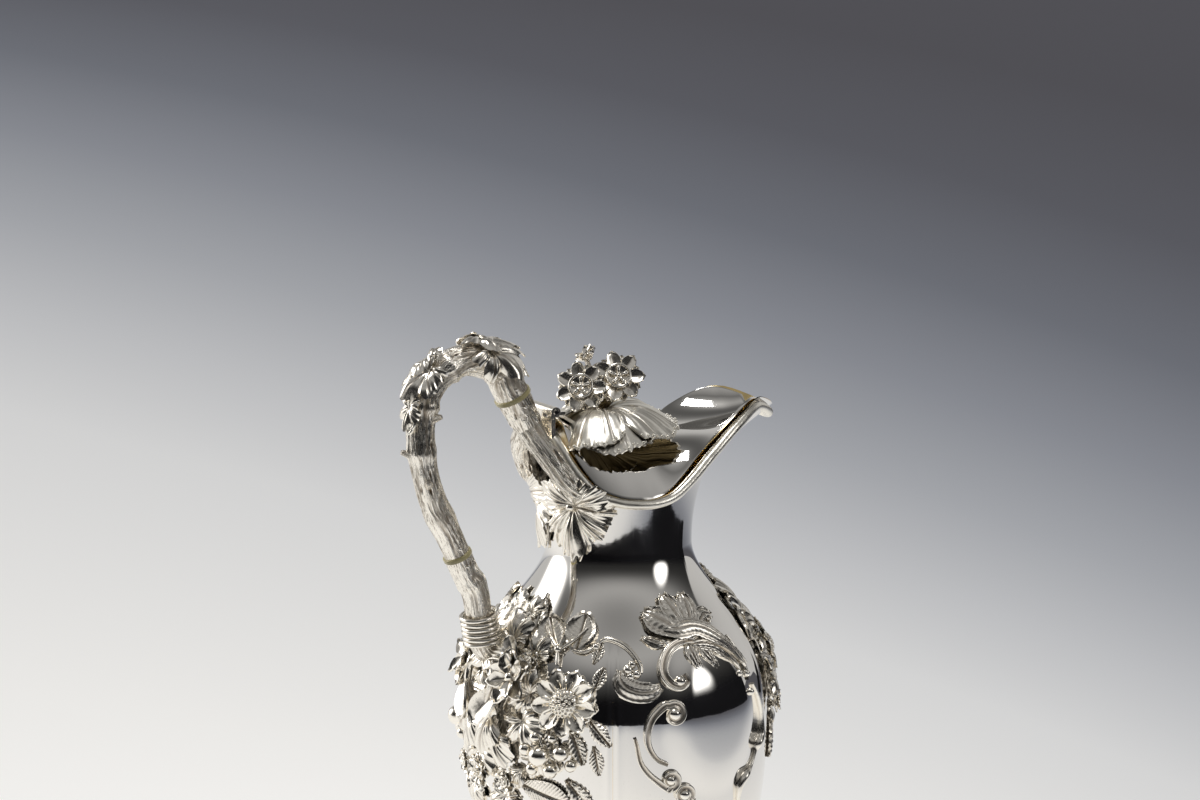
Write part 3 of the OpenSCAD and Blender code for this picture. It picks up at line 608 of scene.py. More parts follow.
class Shader:
    """A node tree that is filled one node at a time."""

    def __init__(self, tree: bpy.types.NodeTree) -> None:
        """Takes the tree to fill."""
        self.tree = tree

    def fill(self, node: bpy.types.Node, inputs: dict) -> bpy.types.Node:
        """Sets a node's inputs, by name or number, to values or sockets."""
        for name, value in inputs.items():
            if isinstance(value, Socket):
                self.tree.links.new(value, node.inputs[name])
            else:
                node.inputs[name].default_value = value
        return node

    def node(self, kind: str, inputs: dict | None = None, **settings: object) -> bpy.types.Node:
        """Adds a node.

        Args:
            kind: The node's type, without its common prefix.
            inputs: Values or sockets for its inputs, by name or number.
            settings: The node's own settings.

        Returns:
            The node.
        """
        made = self.tree.nodes.new("ShaderNode"+kind)
        for name, value in settings.items():
            setattr(made, name, value)
        return self.fill(made, inputs or {})

    def math(self, operation: str, *values: object) -> Socket:
        """The result of a Math node on values or sockets."""
        return self.node("Math", dict(enumerate(values)), operation=operation).outputs[0]

    def place(self) -> Socket:
        """The place on the object."""
        return self.node("TexCoord").outputs["Object"]

    def noise(self, where: Socket, scale: object, detail: float, rough: float = 0.5) -> Socket:
        """Clouds from 0 to 1."""
        inputs = {"Vector": where, "Scale": scale, "Detail": detail, "Roughness": rough}
        return self.node("TexNoise", inputs).outputs["Fac"]

    def ramp(self, value: object, low: float, high: float) -> Socket:
        """The value 0 to 1 mapped to low to high."""
        inputs = {"Value": value, "To Min": low, "To Max": high}
        return self.node("MapRange", inputs).outputs["Result"]

    def bumps(self, height: Socket, distance: float, strength: float = 1) -> Socket:
        """The normal of a surface with that relief."""
        inputs = {"Height": height, "Strength": strength, "Distance": distance}
        return self.node("Bump", inputs).outputs["Normal"]

    def grade(self, share: Socket, stops: Sequence[tuple], kind: str = "LINEAR") -> Socket:
        """A colour that changes with a share.

        Args:
            share: The share, from 0 to 1.
            stops: Shares and their colours.
            kind: How the colours between them are made.

        Returns:
            The colour.
        """
        made = self.node("ValToRGB", {"Fac": share})
        ramp = made.color_ramp
        ramp.interpolation = kind
        while len(ramp.elements) < len(stops):
            ramp.elements.new(0.5)
        for element, (place, colour) in zip(ramp.elements, stops):
            element.position, element.color = place, (*colour, 1)
        return made.outputs["Color"]

    def dot(self, a: object, b: object) -> Socket:
        """How far one direction reaches along another."""
        return self.node("VectorMath", {0: a, 1: b}, operation="DOT_PRODUCT").outputs["Value"]

    def tint(self, share: object, a: Sequence[float], b: Sequence[float]) -> Socket:
        """A colour between a and b."""
        mixer = self.node("Mix", {"Factor": share, 6: (*a, 1), 7: (*b, 1)}, data_type="RGBA")
        return mixer.outputs[2]


def new_group(
    name: str, inputs: dict[str, float], outputs: Sequence[str]
) -> tuple[bpy.types.NodeTree, Shader, bpy.types.Node, bpy.types.Node]:
    """A shader node group with number inputs and outputs.

    Args:
        name: The group's name.
        inputs: Its inputs and their usual values.
        outputs: Its outputs.

    Returns:
        The group, its shader, and its input and output nodes.
    """
    tree = bpy.data.node_groups.new(name, "ShaderNodeTree")
    for key, value in inputs.items():
        made = tree.interface.new_socket(key, in_out="INPUT", socket_type="NodeSocketFloat")
        made.default_value = value
    for key in outputs:
        tree.interface.new_socket(key, in_out="OUTPUT", socket_type="NodeSocketFloat")
    entry = tree.nodes.new("NodeGroupInput")
    result = tree.nodes.new("NodeGroupOutput")
    return tree, Shader(tree), entry, result


def grain_group() -> bpy.types.NodeTree:
    """Hand-worked metal: fine polishing haze, long scratches and a slow waver of the surface."""
    tree, s, entry, result = new_group(
        "worked_metal", {"Grain": 900, "Waver": 60}, ["Haze", "Scratch", "Height"]
    )
    where, grain = s.place(), entry.outputs["Grain"]
    drawn = s.node("Mapping", {"Vector": where, "Scale": (1, 1, 0.06), "Rotation": (0.4, 0.5, 0)})
    lines = s.noise(drawn.outputs[0], grain, 3)
    fine = s.math("MULTIPLY", s.noise(where, grain, 2), 0.04)
    s.fill(result, {
        "Haze": s.noise(where, 70, 4, 0.6), "Scratch": s.math("GREATER_THAN", lines, 0.66),
        "Height": s.math("ADD", s.noise(where, entry.outputs["Waver"], 1), fine),
    })
    return tree


def tarnish_group() -> bpy.types.NodeTree:
    """Dark tarnish that polishing leaves in the grooves of cast ornament."""
    tree, s, entry, result = new_group("groove_tarnish", {"Depth": 0, "Amount": 1}, ["Mask"])
    where = s.place()
    broken = s.ramp(s.noise(where, 300, 3), 0.35, 1.25)
    deep = s.math("MULTIPLY", entry.outputs["Depth"], broken)
    pits = s.math("MULTIPLY", s.math("GREATER_THAN", s.noise(where, 1100, 2), 0.68), 0.25)
    mask = s.node("Math", {0: s.math("ADD", deep, pits), 1: entry.outputs["Amount"]},
                  operation="MULTIPLY", use_clamp=True)
    s.fill(result, {"Mask": mask.outputs[0]})
    return tree


def hair_group() -> bpy.types.NodeTree:
    """Hair lines of bark, along the branch that the mesh's own grain describes."""
    tree, s, _, result = new_group("bark_lines", {}, ["Height", "Dark"])
    grain = s.node("Attribute", attribute_name="grain").outputs["Vector"]
    height = s.math("ADD", s.math("MULTIPLY", s.noise(grain, 1.1, 3, 0.62), 0.7),
                    s.math("MULTIPLY", s.noise(grain, 3.4, 2), 0.3))
    cut = s.node("MapRange", {"Value": height, "From Min": 0.47, "From Max": 0.40})
    s.fill(result, {"Height": height, "Dark": cut.outputs["Result"]})
    return tree


GRAIN = grain_group()
TARNISH = tarnish_group()
HAIR = hair_group()


def new_material(name: str) -> tuple[bpy.types.Material, Shader, bpy.types.Node]:
    """A material with a Principled shader, and the shader tree to fill."""
    material = bpy.data.materials.new(name)
    material.use_nodes = True
    return material, Shader(material.node_tree), material.node_tree.nodes["Principled BSDF"]


@dataclass(frozen=True)
class Metal:
    """Worked precious metal, with tarnish in its grooves."""

    name: str
    slot: Slot
    colour: tuple[float, float, float]
    dark: tuple[float, float, float]
    smoothest: float
    roughest: float
    tarnish: float
    waver: float
    relief: float
    bark: float = 0.0

    def material(self) -> bpy.types.Material:
        """Builds the material."""
        made, s, shader = new_material(self.name)
        grain = s.node("Group", {"Waver": self.waver}, node_tree=GRAIN)
        depth = s.node("Attribute", attribute_name="hollow").outputs["Fac"]
        stain = s.node("Group", {"Depth": depth, "Amount": self.tarnish}, node_tree=TARNISH)
        mask, height = stain.outputs["Mask"], grain.outputs["Height"]
        if self.bark:
            hair = s.node("Group", node_tree=HAIR)
            mask = s.math("MAXIMUM", mask, s.math("MULTIPLY", hair.outputs["Dark"], 0.75))
            height = s.math("ADD", height, s.math("MULTIPLY", hair.outputs["Height"], self.bark))
        haze = s.ramp(grain.outputs["Haze"], self.smoothest, self.roughest)
        scratched = s.math("MULTIPLY", grain.outputs["Scratch"], 0.03)
        s.fill(shader, {
            "Base Color": s.tint(mask, self.colour, self.dark), "Metallic": 1.0,
            "Roughness": s.math("ADD", s.math("ADD", haze, scratched),
                                s.math("MULTIPLY", mask, 0.25)),
            "Normal": s.bumps(height, self.relief),
        })
        return made


@dataclass(frozen=True)
class Ivory:
    """Old ivory with faint rings of growth."""

    name: str = "old_ivory"
    slot: Slot = Slot.IVORY
    pale: tuple[float, float, float] = (0.78, 0.70, 0.38)
    deep: tuple[float, float, float] = (0.58, 0.47, 0.19)

    def material(self) -> bpy.types.Material:
        """Builds the material."""
        made, s, shader = new_material(self.name)
        where = s.place()
        rings = s.node(
            "TexWave",
            {"Vector": where, "Scale": 420, "Distortion": 6, "Detail": 3, "Detail Scale": 2},
            wave_type="RINGS",
        ).outputs["Fac"]
        patch = s.noise(where, 160, 4)
        s.fill(shader, {
            "Base Color": s.tint(s.math("MULTIPLY", rings, patch), self.pale, self.deep),
            "Roughness": s.ramp(patch, 0.22, 0.42), "Normal": s.bumps(rings, 0.00005, 0.3),
            "IOR": 1.54, "Coat Weight": 0.3, "Coat Roughness": 0.15,
        })
        return made


@dataclass
class Finishes:
    """The jug's finishes, each built once."""

    polished: Metal = Metal(
        "polished_silver_sheet", Slot.POLISHED, (0.95, 0.925, 0.885), (0.5, 0.46, 0.4),
        0.01, 0.08, 0.3, 45, 0.00006,
    )
    cast: Metal = Metal(
        "cast_silver", Slot.CAST, (1.0, 0.955, 0.87), (0.20, 0.14, 0.08),
        0.14, 0.30, 1.0, 260, 0.00012,
    )
    bark: Metal = Metal(
        "cast_bark", Slot.CAST, (1.0, 0.955, 0.87), (0.20, 0.14, 0.08),
        0.12, 0.30, 1.0, 260, 0.00012, 5.0,
    )
    # Painted shade: a much darker copy of the gilding for the lower faces of the lid's leaves, standing
    # in for the shade under them.
    under: Metal = Metal(
        "gilding_with_painted_shade", Slot.GILT, (0.13, 0.10, 0.05), (0.06, 0.04, 0.02),
        0.25, 0.45, 0.7, 120, 0.00008,
    )
    satin: Metal = Metal(
        "satin_silver", Slot.CAST, (0.97, 0.93, 0.84), (0.24, 0.17, 0.10),
        0.24, 0.42, 0.8, 300, 0.00016,
    )
    gilt: Metal = Metal(
        "gilding", Slot.GILT, (0.95, 0.74, 0.36), (0.34, 0.21, 0.07),
        0.12, 0.32, 0.7, 120, 0.00008,
    )
    ivory: Ivory = Ivory()
    made: dict[str, bpy.types.Material] = field(default_factory=dict)

    def finished(self, finish: Metal | Ivory) -> bpy.types.Material:
        """The material of a finish."""
        if finish.name not in self.made:
            self.made[finish.name] = finish.material()
        return self.made[finish.name]

    def dress(self, obj: Piece, finish: Metal | Ivory, under: Metal | None = None) -> None:
        """Gives an object its finish.

        Args:
            obj: The object.
            finish: The finish of all of it.
            under: The finish of the lower faces of its leaves, where it differs.
        """
        obj.data.materials.clear()
        obj.data.materials.append(self.finished(finish))
        if under:
            obj.data.materials.append(self.finished(under))
            marks = obj.data.attributes["under"]
            for face in obj.data.polygons:
                face.material_index = marks.data[face.index].value

    def settle(
        self, piece: Piece, finish: Metal | Ivory, *nodes: str,
        body: Body = Body.JUG, crease: float = 60, under: Metal | None = None,
    ) -> None:
        """Turns a finished piece to metres, dresses it and ties it to the frame.

        Args:
            piece: The piece, shaped in millimetres.
            finish: Its finish.
            nodes: The solids that it stands for.
            body: The body that it moves with.
            crease: Edges sharper than this many degrees stay sharp.
            under: The finish of the lower faces of its leaves.
        """
        only(piece)
        piece.scale = (MM, MM, MM)
        bpy.ops.object.transform_apply(location=True, rotation=True, scale=True)
        bpy.ops.object.shade_smooth_by_angle(angle=radians(crease))
        self.dress(piece, finish, under)
        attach(piece, body.value)
        if nodes:
            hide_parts(*nodes)
        LOG.info("%s: %d faces", piece.name, len(piece.data.polygons))


# ---- Cast ornament: leaves and flowers ----


@dataclass(frozen=True)
class LobedLeaf:
    """A vine leaf of full ribbed lobes round its root, growing along +X with its face up."""

    length: float = 20
    lobes: tuple[tuple[float, float, float], ...] = (
        (0, 1, 42), (-58, 0.86, 38), (58, 0.86, 38), (-112, 0.62, 36), (112, 0.62, 36),
    )
    spread: float = 146
    droop: float = 2.0
    ruffle: float = 0.9
    rib: float = 0.4
    ribs: float = 44
    swell: float = 1.2
    bay: float = 0.52
    bead: float = 0.035
    rise: float = 0.12
    lip: float = 0.0
    thick: float = 0.9
    columns: int = 96
    rows: int = 10

    def fullness(self, turn: float) -> tuple[float, float]:
        """Share of the length that the edge reaches at a turn, and how near a lobe's middle."""
        best, ridge = self.bay*0.9, 0.0
        for middle, share, width in self.lobes:
            off = abs(turn-middle)/width
            best = max(best, share*(1-(1-self.bay)*min(1.2, off)**2.2))
            ridge = max(ridge, 1-min(1.0, off)**2)
        return best, ridge

    def reach(self, turn: float) -> float:
        """Distance from the root to the edge at a turn in degrees."""
        ends = smoothstep(self.spread+6, self.spread-14, abs(turn))
        a = radians(turn)
        frill = 1+self.bead*(cos(a*self.ribs*0.5)+0.7*sin(a*self.ribs*0.83+1))
        return self.length*self.fullness(turn)[0]*frill*mix(0.55, 1, ends)

    def relief(self, turn: float, v: float) -> tuple[float, float]:
        """Height and depth in the grooves at a turn and a share of the way to the edge."""
        ridge = self.fullness(turn)[1]
        a = radians(turn)
        wave = cos(a*self.ribs+0.8*sin(a*5)+1.2*sin(v*3+a*9))
        wave *= 0.6+0.4*sin(a*11+v*4)
        grown = smoothstep(0.08, 0.5, v)
        middle = min(abs(turn-m) for m, _, _ in self.lobes)*radians(1)*v*self.length
        vein = bump(middle, 0.55)
        height = self.swell*ridge*sin(pi*min(1, v*0.9))+self.rib*wave*grown-0.5*vein
        dark = 0.35*smoothstep(0.1, -0.9, wave)*grown+0.6*vein+0.9*smoothstep(0.3, 0.0, ridge)*grown
        return height, min(1.0, dark*mix(1, 0.3, smoothstep(0.75, 1, v)))

    def point(self, turn: float, v: float) -> Vector:
        """A point of the leaf's face at a turn and a share of the way to the edge."""
        r, a = self.reach(turn)*v, radians(turn)
        share = r/self.length
        wave = sin(a*7+0.6)*self.ruffle*v**3
        height = self.relief(turn, v)[0]-self.droop*share*share+wave
        height += self.rise*self.length*share*(1-share)
        height += self.lip*smoothstep(0.84, 1.0, v)*(1+0.5*cos(a*self.ribs/2))
        return Vector((r*cos(a), r*sin(a), height))

    def model(self, name: str = "leaf") -> Piece:
        """Builds the leaf."""

        def place(u: float, v: float) -> Vector:
            """A point of the leaf's face."""
            return self.point(mix(-self.spread, self.spread, u), v)

        def hollow(u: float, v: float) -> float:
            """How deep it lies in a groove."""
            return self.relief(mix(-self.spread, self.spread, u), v)[1]

        return plate(sheet(name, self.columns, self.rows, place, hollow), self.thick)


@dataclass(frozen=True)
class BladeLeaf:
    """A leaf with one midrib and slanting side veins, growing along +X with its face up."""

    length: float = 20
    width: float = 9
    fullest: float = 0.5
    fold: float = 1.4
    droop: float = 1.5
    curl: float = 0.8
    rib: float = 0.3
    veins: float = 7
    tooth: float = 0.12
    thick: float = 0.9
    columns: int = 14
    rows: int = 26

    def half(self, v: float) -> float:
        """Half of the width at the share v of the length."""
        bulge = v/self.fullest*0.5 if v < self.fullest else 0.5+(v-self.fullest)/(1-self.fullest)/2
        saw = (v*self.veins) % 1
        return self.width/2*(0.06+sin(pi*bulge)**0.8)*(1-self.tooth*saw)

    def model(self, name: str = "blade") -> Piece:
        """Builds the leaf."""

        def rib(q: float, v: float) -> float:
            """The wave of the side veins."""
            return cos(FULL*(v*self.veins-abs(q)*1.3))*min(1, abs(q)*3)

        def place(u: float, v: float) -> tuple[float, float, float]:
            """A point of the leaf's face."""
            q = 2*u-1
            w = self.half(v)
            height = self.rib*rib(q, v)-0.6*bump(q*w, 0.5)
            height += self.fold*(abs(q)-0.4*q*q)-self.droop*v*v
            height -= self.curl*max(0.0, abs(q)-0.7)*3
            return self.length*v+0.18*w*abs(q), w*q, height

        def hollow(u: float, v: float) -> float:
            """How deep it lies in a groove."""
            q = 2*u-1
            return min(1.0, bump(q*self.half(v), 0.5)+0.4*max(0.0, -rib(q, v)))

        return plate(sheet(name, self.columns, self.rows, place, hollow), self.thick)


@dataclass(frozen=True)
class Petal:
    """A petal that grows along +X, cupped, with its tip lifted and a crease down its middle."""

    length: float = 9
    width: float = 6
    lift: float = 1.5
    cup: float = 1.0
    point: float = 0.0
    crease: float = 0.4
    thick: float = 0.7
    start: float = 0.0

    def model(self, name: str = "petal") -> Piece:
        """Builds the petal."""

        def half(v: float) -> float:
            """Half of the width at the share v of the length."""
            neck = 0.3+0.7*sin(pi/2*min(1.0, v/0.6))
            tip = sqrt(max(0.0, 1-max(0.0, (v-0.55)/0.45)**2))
            return self.width/2*neck*mix(tip, 1-v*v, self.point if v > 0.55 else 0)

        def place(u: float, v: float) -> tuple[float, float, float]:
            """A point of the petal's face."""
            q = 2*u-1
            height = self.lift*v**1.6+self.cup*q*q*sin(pi*min(1, v*1.1)*0.9)
            height -= self.crease*bump(q, 0.22)*(1-v*v)
            height -= 0.5*self.cup*max(0.0, v-0.8)*5*(1-q*q)
            return self.start+self.length*v, half(v)*q, height

        def hollow(u: float, v: float) -> float:
            """How deep it lies in a groove."""
            return bump(2*u-1, 0.2)*(1-v)+0.7*max(0.0, 0.3-v)*3

        return plate(sheet(name, 10, 10, place, hollow), self.thick)


@dataclass(frozen=True)
class Plume:
    """An acanthus leaf that sweeps along a bent spine over the body."""

    spine: tuple[tuple[float, ...], ...]
    lobes: float
    notch: float
    hatch: float
    swell: float
    roll: float
    out: float
    thick: float = 0.9

    def model(self, side: int) -> Piece:
        """Builds the leaf; side is 1 where its angles are meant and -1 for their mirror.

        Each point of the spine gives its angle, its height and its width, or both sides' widths.
        """
        line = smooth([(a, z, w[0], w[-1]) for a, z, *w in self.spine], 12)
        last = len(line)-1

        def edge(share: float) -> float:
            """Share of the width that the lobed edge reaches."""
            return 1-self.notch*abs(cos(pi*share*self.lobes))**3

        def slant(q: float, v: float) -> float:
            """Where along the leaf a slanting rib crosses a point."""
            return v-0.12*abs(q)

        def relief(q: float, v: float) -> tuple[float, float]:
            """Height and depth in the grooves."""
            wave = cos(FULL*self.hatch*slant(q, v))
            inner = min(1.0, abs(q)*3)
            height = self.swell*(1-q*q)*sin(pi*min(1, 0.15+v*0.8))
            height += self.roll*smoothstep(0.6, 1.0, abs(q))+0.07*wave*inner
            height -= 0.55*bump(q, 0.13)
            ribbed = smoothstep(0.1, -0.9, wave)*inner*(1-smoothstep(0.8, 1, abs(q)))
            dark = 0.75*bump(q, 0.14)+0.25*ribbed+0.5*bump(abs(q)-0.7, 0.08)
            return height, min(1.0, dark)

        def place(u: float, v: float) -> Vector:
            """A point of the leaf's face."""
            i = round(v*last)
            q = 2*u-1
            angle, z, left, right = line[i]
            before, after = line[max(i-1, 0)], line[min(i+1, last)]
            r, lean = JUG.body_r(z), JUG.body_lean(z)
            run = radians(after[0]-before[0])*r
            drop = (after[1]-before[1])/max(0.3, cos(lean))
            size = hypot(run, drop)
            w = (left if q < 0 else right)*edge(v)*q
            across, up = -drop/size*w, run/size*w*cos(lean)
            height = self.out+relief(q, v)[0]
            return JUG.on_body(side*(angle+degrees(across/r)), z+up, height)

        made = sheet("plume", 18, last, place, lambda u, v: relief(2*u-1, v)[1])
        return plate(made, self.thick, outward=True)


class Centre(Enum):
    """What stands in the middle of a flower."""

    SEEDS = "a dome of many seeds"
    CROWN = "a cup with a ring of beads"
    BEAD = "one bead"
    STAR = "a ringed cup with a star of five stamens"


@dataclass(frozen=True)
class Blossom:
    """A flower that faces up: rings of petals round a centre."""

    span: float
    rings: tuple[tuple[int, float, float, float], ...]
    centre: Centre
    heart: float
    width: float
    cup: float
    point: float = 0.0

    def model(self, name: str = "blossom") -> Piece:
        """Builds the flower; each ring gives the count, length share, lift and height."""
        parts = []
        for layer, (count, share, lift, height) in enumerate(self.rings):
            length = (self.span/2-self.heart*0.5)*share
            petal = Petal(
                length=length, width=length*self.width, lift=lift, cup=self.cup,
                point=self.point, start=self.heart*0.5,
            ).model()
            for k in range(count):
                turn = FULL*(k+0.5*(layer % 2))/count
                turn_by = Matrix.Translation((0, 0, height)) @ Matrix.Rotation(turn, 4, "Z")
                wilt = 1+0.1*sin(k*2.4+layer)
                parts.append(stamp(petal, lambda p, m=turn_by, w=wilt: m @ Vector((p.x, p.y, p.z*w))))
            scrap(petal)
        parts += self.middle()
        return gather(name, parts)

    def middle(self) -> list[Piece]:
        """Builds the flower's centre."""
        r = self.heart
        top = max(h for *_, h in self.rings)
        if self.centre is Centre.BEAD:
            return [self.dome(r, top, 0.9)]
        if self.centre is Centre.STAR:
            return self.star(r, top)
        if self.centre is Centre.CROWN:
            ring = [ball(polar(r*0.62, FULL*k/9, top+r*0.62), r*0.22, 1) for k in range(9)]
            return [self.dome(r, top, 0.5), *ring, ball((0, 0, top+r*0.62), r*0.3, 1)]
        parts = [self.dome(r, top, 0.55)]
        seeds, golden = 46, 2.39996
        for k in range(seeds):
            share = sqrt((k+0.5)/seeds)
            at = polar(r*share, k*golden, top+r*0.6*sqrt(1-share**2)+0.1)
            parts.append(ball(at, r*0.13, 1))
        return parts

    def star(self, r: float, top: float) -> list[Piece]:
        """A cup with a rolled lip that holds five stamens round a bead."""
        lip = arc((r-0.1, top+2.1), (0.62, 0.62), 30, -3, 7)
        bowl = [(r*0.66, top+1.2), (r*0.5, top+0.9), (0, top+0.8)]
        parts = [turned("cup", [(0, top-0.8), (r*0.6, top-0.8), (r*0.85, top+0.6), *lip, *bowl], 36)]
        for k in range(5):
            a = FULL*k/5+0.3
            arm = smooth([polar(0.3, a, top+1.0), polar(r*0.34, a, top+2.3),
                          polar(r*0.66, a, top+2.5)], 5)
            parts.append(rod("stamen", arm, lambda turn, v: 0.62+0.2*v, 10, (-sin(a), cos(a), 0.05)))
            parts.append(ball(arm[-1], 0.95, 2))
        parts.append(ball((0, 0, top+1.8), 1.1, 2))
        return parts

    def dome(self, r: float, height: float, rise: float) -> Piece:
        """A dome with a rounded rim, closed below."""
        outline = [(0, height-r*0.7), (r*0.7, height-r*0.7)]
        outline += [*arc((0, height), (r, r*rise), 10, 0, 8), (0, height+r*rise)]
        return turned("dome", outline, 20)


# ---- Bark ----


def bark(turn: float, along: float, seed: float) -> tuple[float, float]:
    """Height of the bark at a turn round a branch and a distance along it, and its pits."""
    c, s = cos(turn), sin(turn)
    wide = noise.noise(Vector((1.7*c, 1.7*s, along*0.045+seed)))
    a = turn+0.5*noise.noise(Vector((c, s, along*0.06+seed+7)))
    c2, s2 = cos(a), sin(a)
    line = noise.noise(Vector((4.6*c2, 4.6*s2, along*0.035+seed)))
    fine = noise.noise(Vector((10.5*c2, 10.5*s2, along*0.05+seed)))
    pit = smoothstep(0.42, 0.66, noise.noise(Vector((3.6*c, 3.6*s, along*0.16+seed+3))))
    return 0.75*wide+0.42*(1-3.0*abs(line))+0.24*(1-3*abs(fine))-1.2*pit-0.3, pit


def branch(
    name: str, points: Sequence[Vector], radius: Callable[[float], float], relief: float,
    seed: float, sides: int, side: Sequence[float] = (0, 1, 0),
) -> Piece:
    """A cast branch with bark along a line.

    Args:
        name: The object's name.
        points: Its line.
        radius: Gives its mean radius for the share of its length.
        relief: Height of the bark in millimetres.
        seed: Where in the pattern this branch starts.
        sides: Faces round it.
        side: The direction in which the turn is 0 at the start.

    Returns:
        The branch.
    """
    far = lengths(points)
    last = len(points)-1

    def thick(turn: float, v: float) -> float:
        """Radius with its bark."""
        along = far[round(v*last)]
        ends = min(1.0, along/1.5, (far[-1]-along)/1.5)
        return radius(v)+relief*bark(turn, along, seed)[0]*(0.35+0.65*max(0.0, ends))

    def hollow(u: float, v: float) -> float:
        """How deep a point lies in the bark."""
        height, pit = bark(FULL*u, far[round(v*last)], seed)
        return min(1.0, 0.8*smoothstep(0.0, -0.8, height)+pit)

    def grain(u: float, v: float) -> Vector:
        """Where a point lies in the bark's pattern."""
        turn = FULL*u
        return Vector((6*cos(turn), 6*sin(turn), far[round(v*last)]*0.11+seed))

    return rod(name, points, thick, sides, side, hollow, grain)


# ---- Sub-assemblies ----


@dataclass
class Foot:
    """The foot ring, the domed foot and the stem with its knop, below the photograph."""

    foot_r: float = 49
    ring_h: float = 7
    dome_h: float = 29
    knop_r: float = 16
    leaves: int = 10

    def build(self, kit: Finishes) -> None:
        """Builds and settles the foot's pieces."""
        kit.settle(self.ring(), kit.polished, "foot_ring", crease=30)
        kit.settle(self.dome(), kit.polished, "foot_dome")
        kit.settle(self.stem(), kit.polished, "stem", crease=35)

    def ring(self) -> Piece:
        """The moulded ring, with a rounded edge and a fillet."""
        r, h = self.foot_r, self.ring_h
        profile = [(r-4, 0), (r-0.3, 0), (r, 0.3), (r, 1.6), (r-0.6, 2.0)]
        profile += arc((r-2.3, 3.6), (2.3, 1.6), 15, -5, 6)
        profile += [(r-2.2, 5.3), (r-2.0, h-0.7), (r-2.2, h), (r-7, h), (r-7, 4.9), (r-4, 4.9)]
        return turned("foot_moulding", profile, 160)

    def dome_r(self, z: float) -> float:
        """Radius of the domed foot at the height z."""
        t = (z-self.ring_h)/(self.dome_h-self.ring_h)
        return mix(self.foot_r-3, JUG.stem_r, max(0.0, t)**0.55)

    def dome(self) -> Piece:
        """The domed foot, chased with a ring of upright leaves."""
        steps = 40
        rise = [mix(self.ring_h, self.dome_h, (i/steps)**1.25) for i in range(steps+1)]
        outer = [(self.dome_r(z), z) for z in rise]
        inner = [(self.dome_r(z)-1.6, max(self.ring_h, z-0.2)) for z in reversed(rise[:-1])]
        obj = turned("domed_foot", [*outer, (JUG.stem_r-3.9, self.dome_h), *inner], 240)
        for k, vertex in enumerate(obj.data.vertices):
            p = vertex.co
            r = hypot(p.x, p.y)
            share = (r-JUG.stem_r-3)/(self.foot_r-JUG.stem_r-9)
            if not 0 < share < 1 or r < self.dome_r(p.z)-0.4:
                continue
            turn = (atan2(p.y, p.x)/FULL*self.leaves) % 1-0.5
            width = 0.47*sin(pi*min(1, share*0.62+0.32))
            inside = smoothstep(width, width*0.72, abs(turn))*smoothstep(0, 0.1, share)
            inside *= smoothstep(1, 0.93, share)
            vein = bump(turn, 0.025)
            swell = inside*(1.1-0.9*vein+0.12*cos(FULL*(share*6-abs(turn)*5)))
            p.z += 0.5625*swell
            p.x *= 1+0.5*swell/r
            p.y *= 1+0.5*swell/r
            depth = max(inside*vein, bump(abs(turn)-width, 0.018)*min(1, share*6))
            obj.data.attributes["hollow"].data[k].value = 0.8*depth
        return obj

    def stem(self) -> Piece:
        """The stem with its knop between two collars."""
        low, top = self.dome_h, JUG.seat_h
        r = JUG.stem_r
        waist, middle, half = r-2, mix(low, top, 0.5), (top-low)*0.27
        profile = [(0, low), (r-0.2, low), (r, low+0.2), (r, low+1.2), (r-0.4, low+1.5)]
        profile += [(mix(r-0.6, waist, k/6), mix(low+1.6, middle-half, k/6)) for k in range(1, 6)]
        profile += arc((waist, middle), (self.knop_r-waist, half), 7.5, -12, 12)
        profile += [(mix(waist, r-0.6, k/6), mix(middle+half, top-1.6, k/6)) for k in range(1, 6)]
        profile += [(r-0.4, top-1.5), (r, top-1.2), (r, top-0.1), (0, top-0.1)]
        return turned("stem_with_knop", profile, 128)


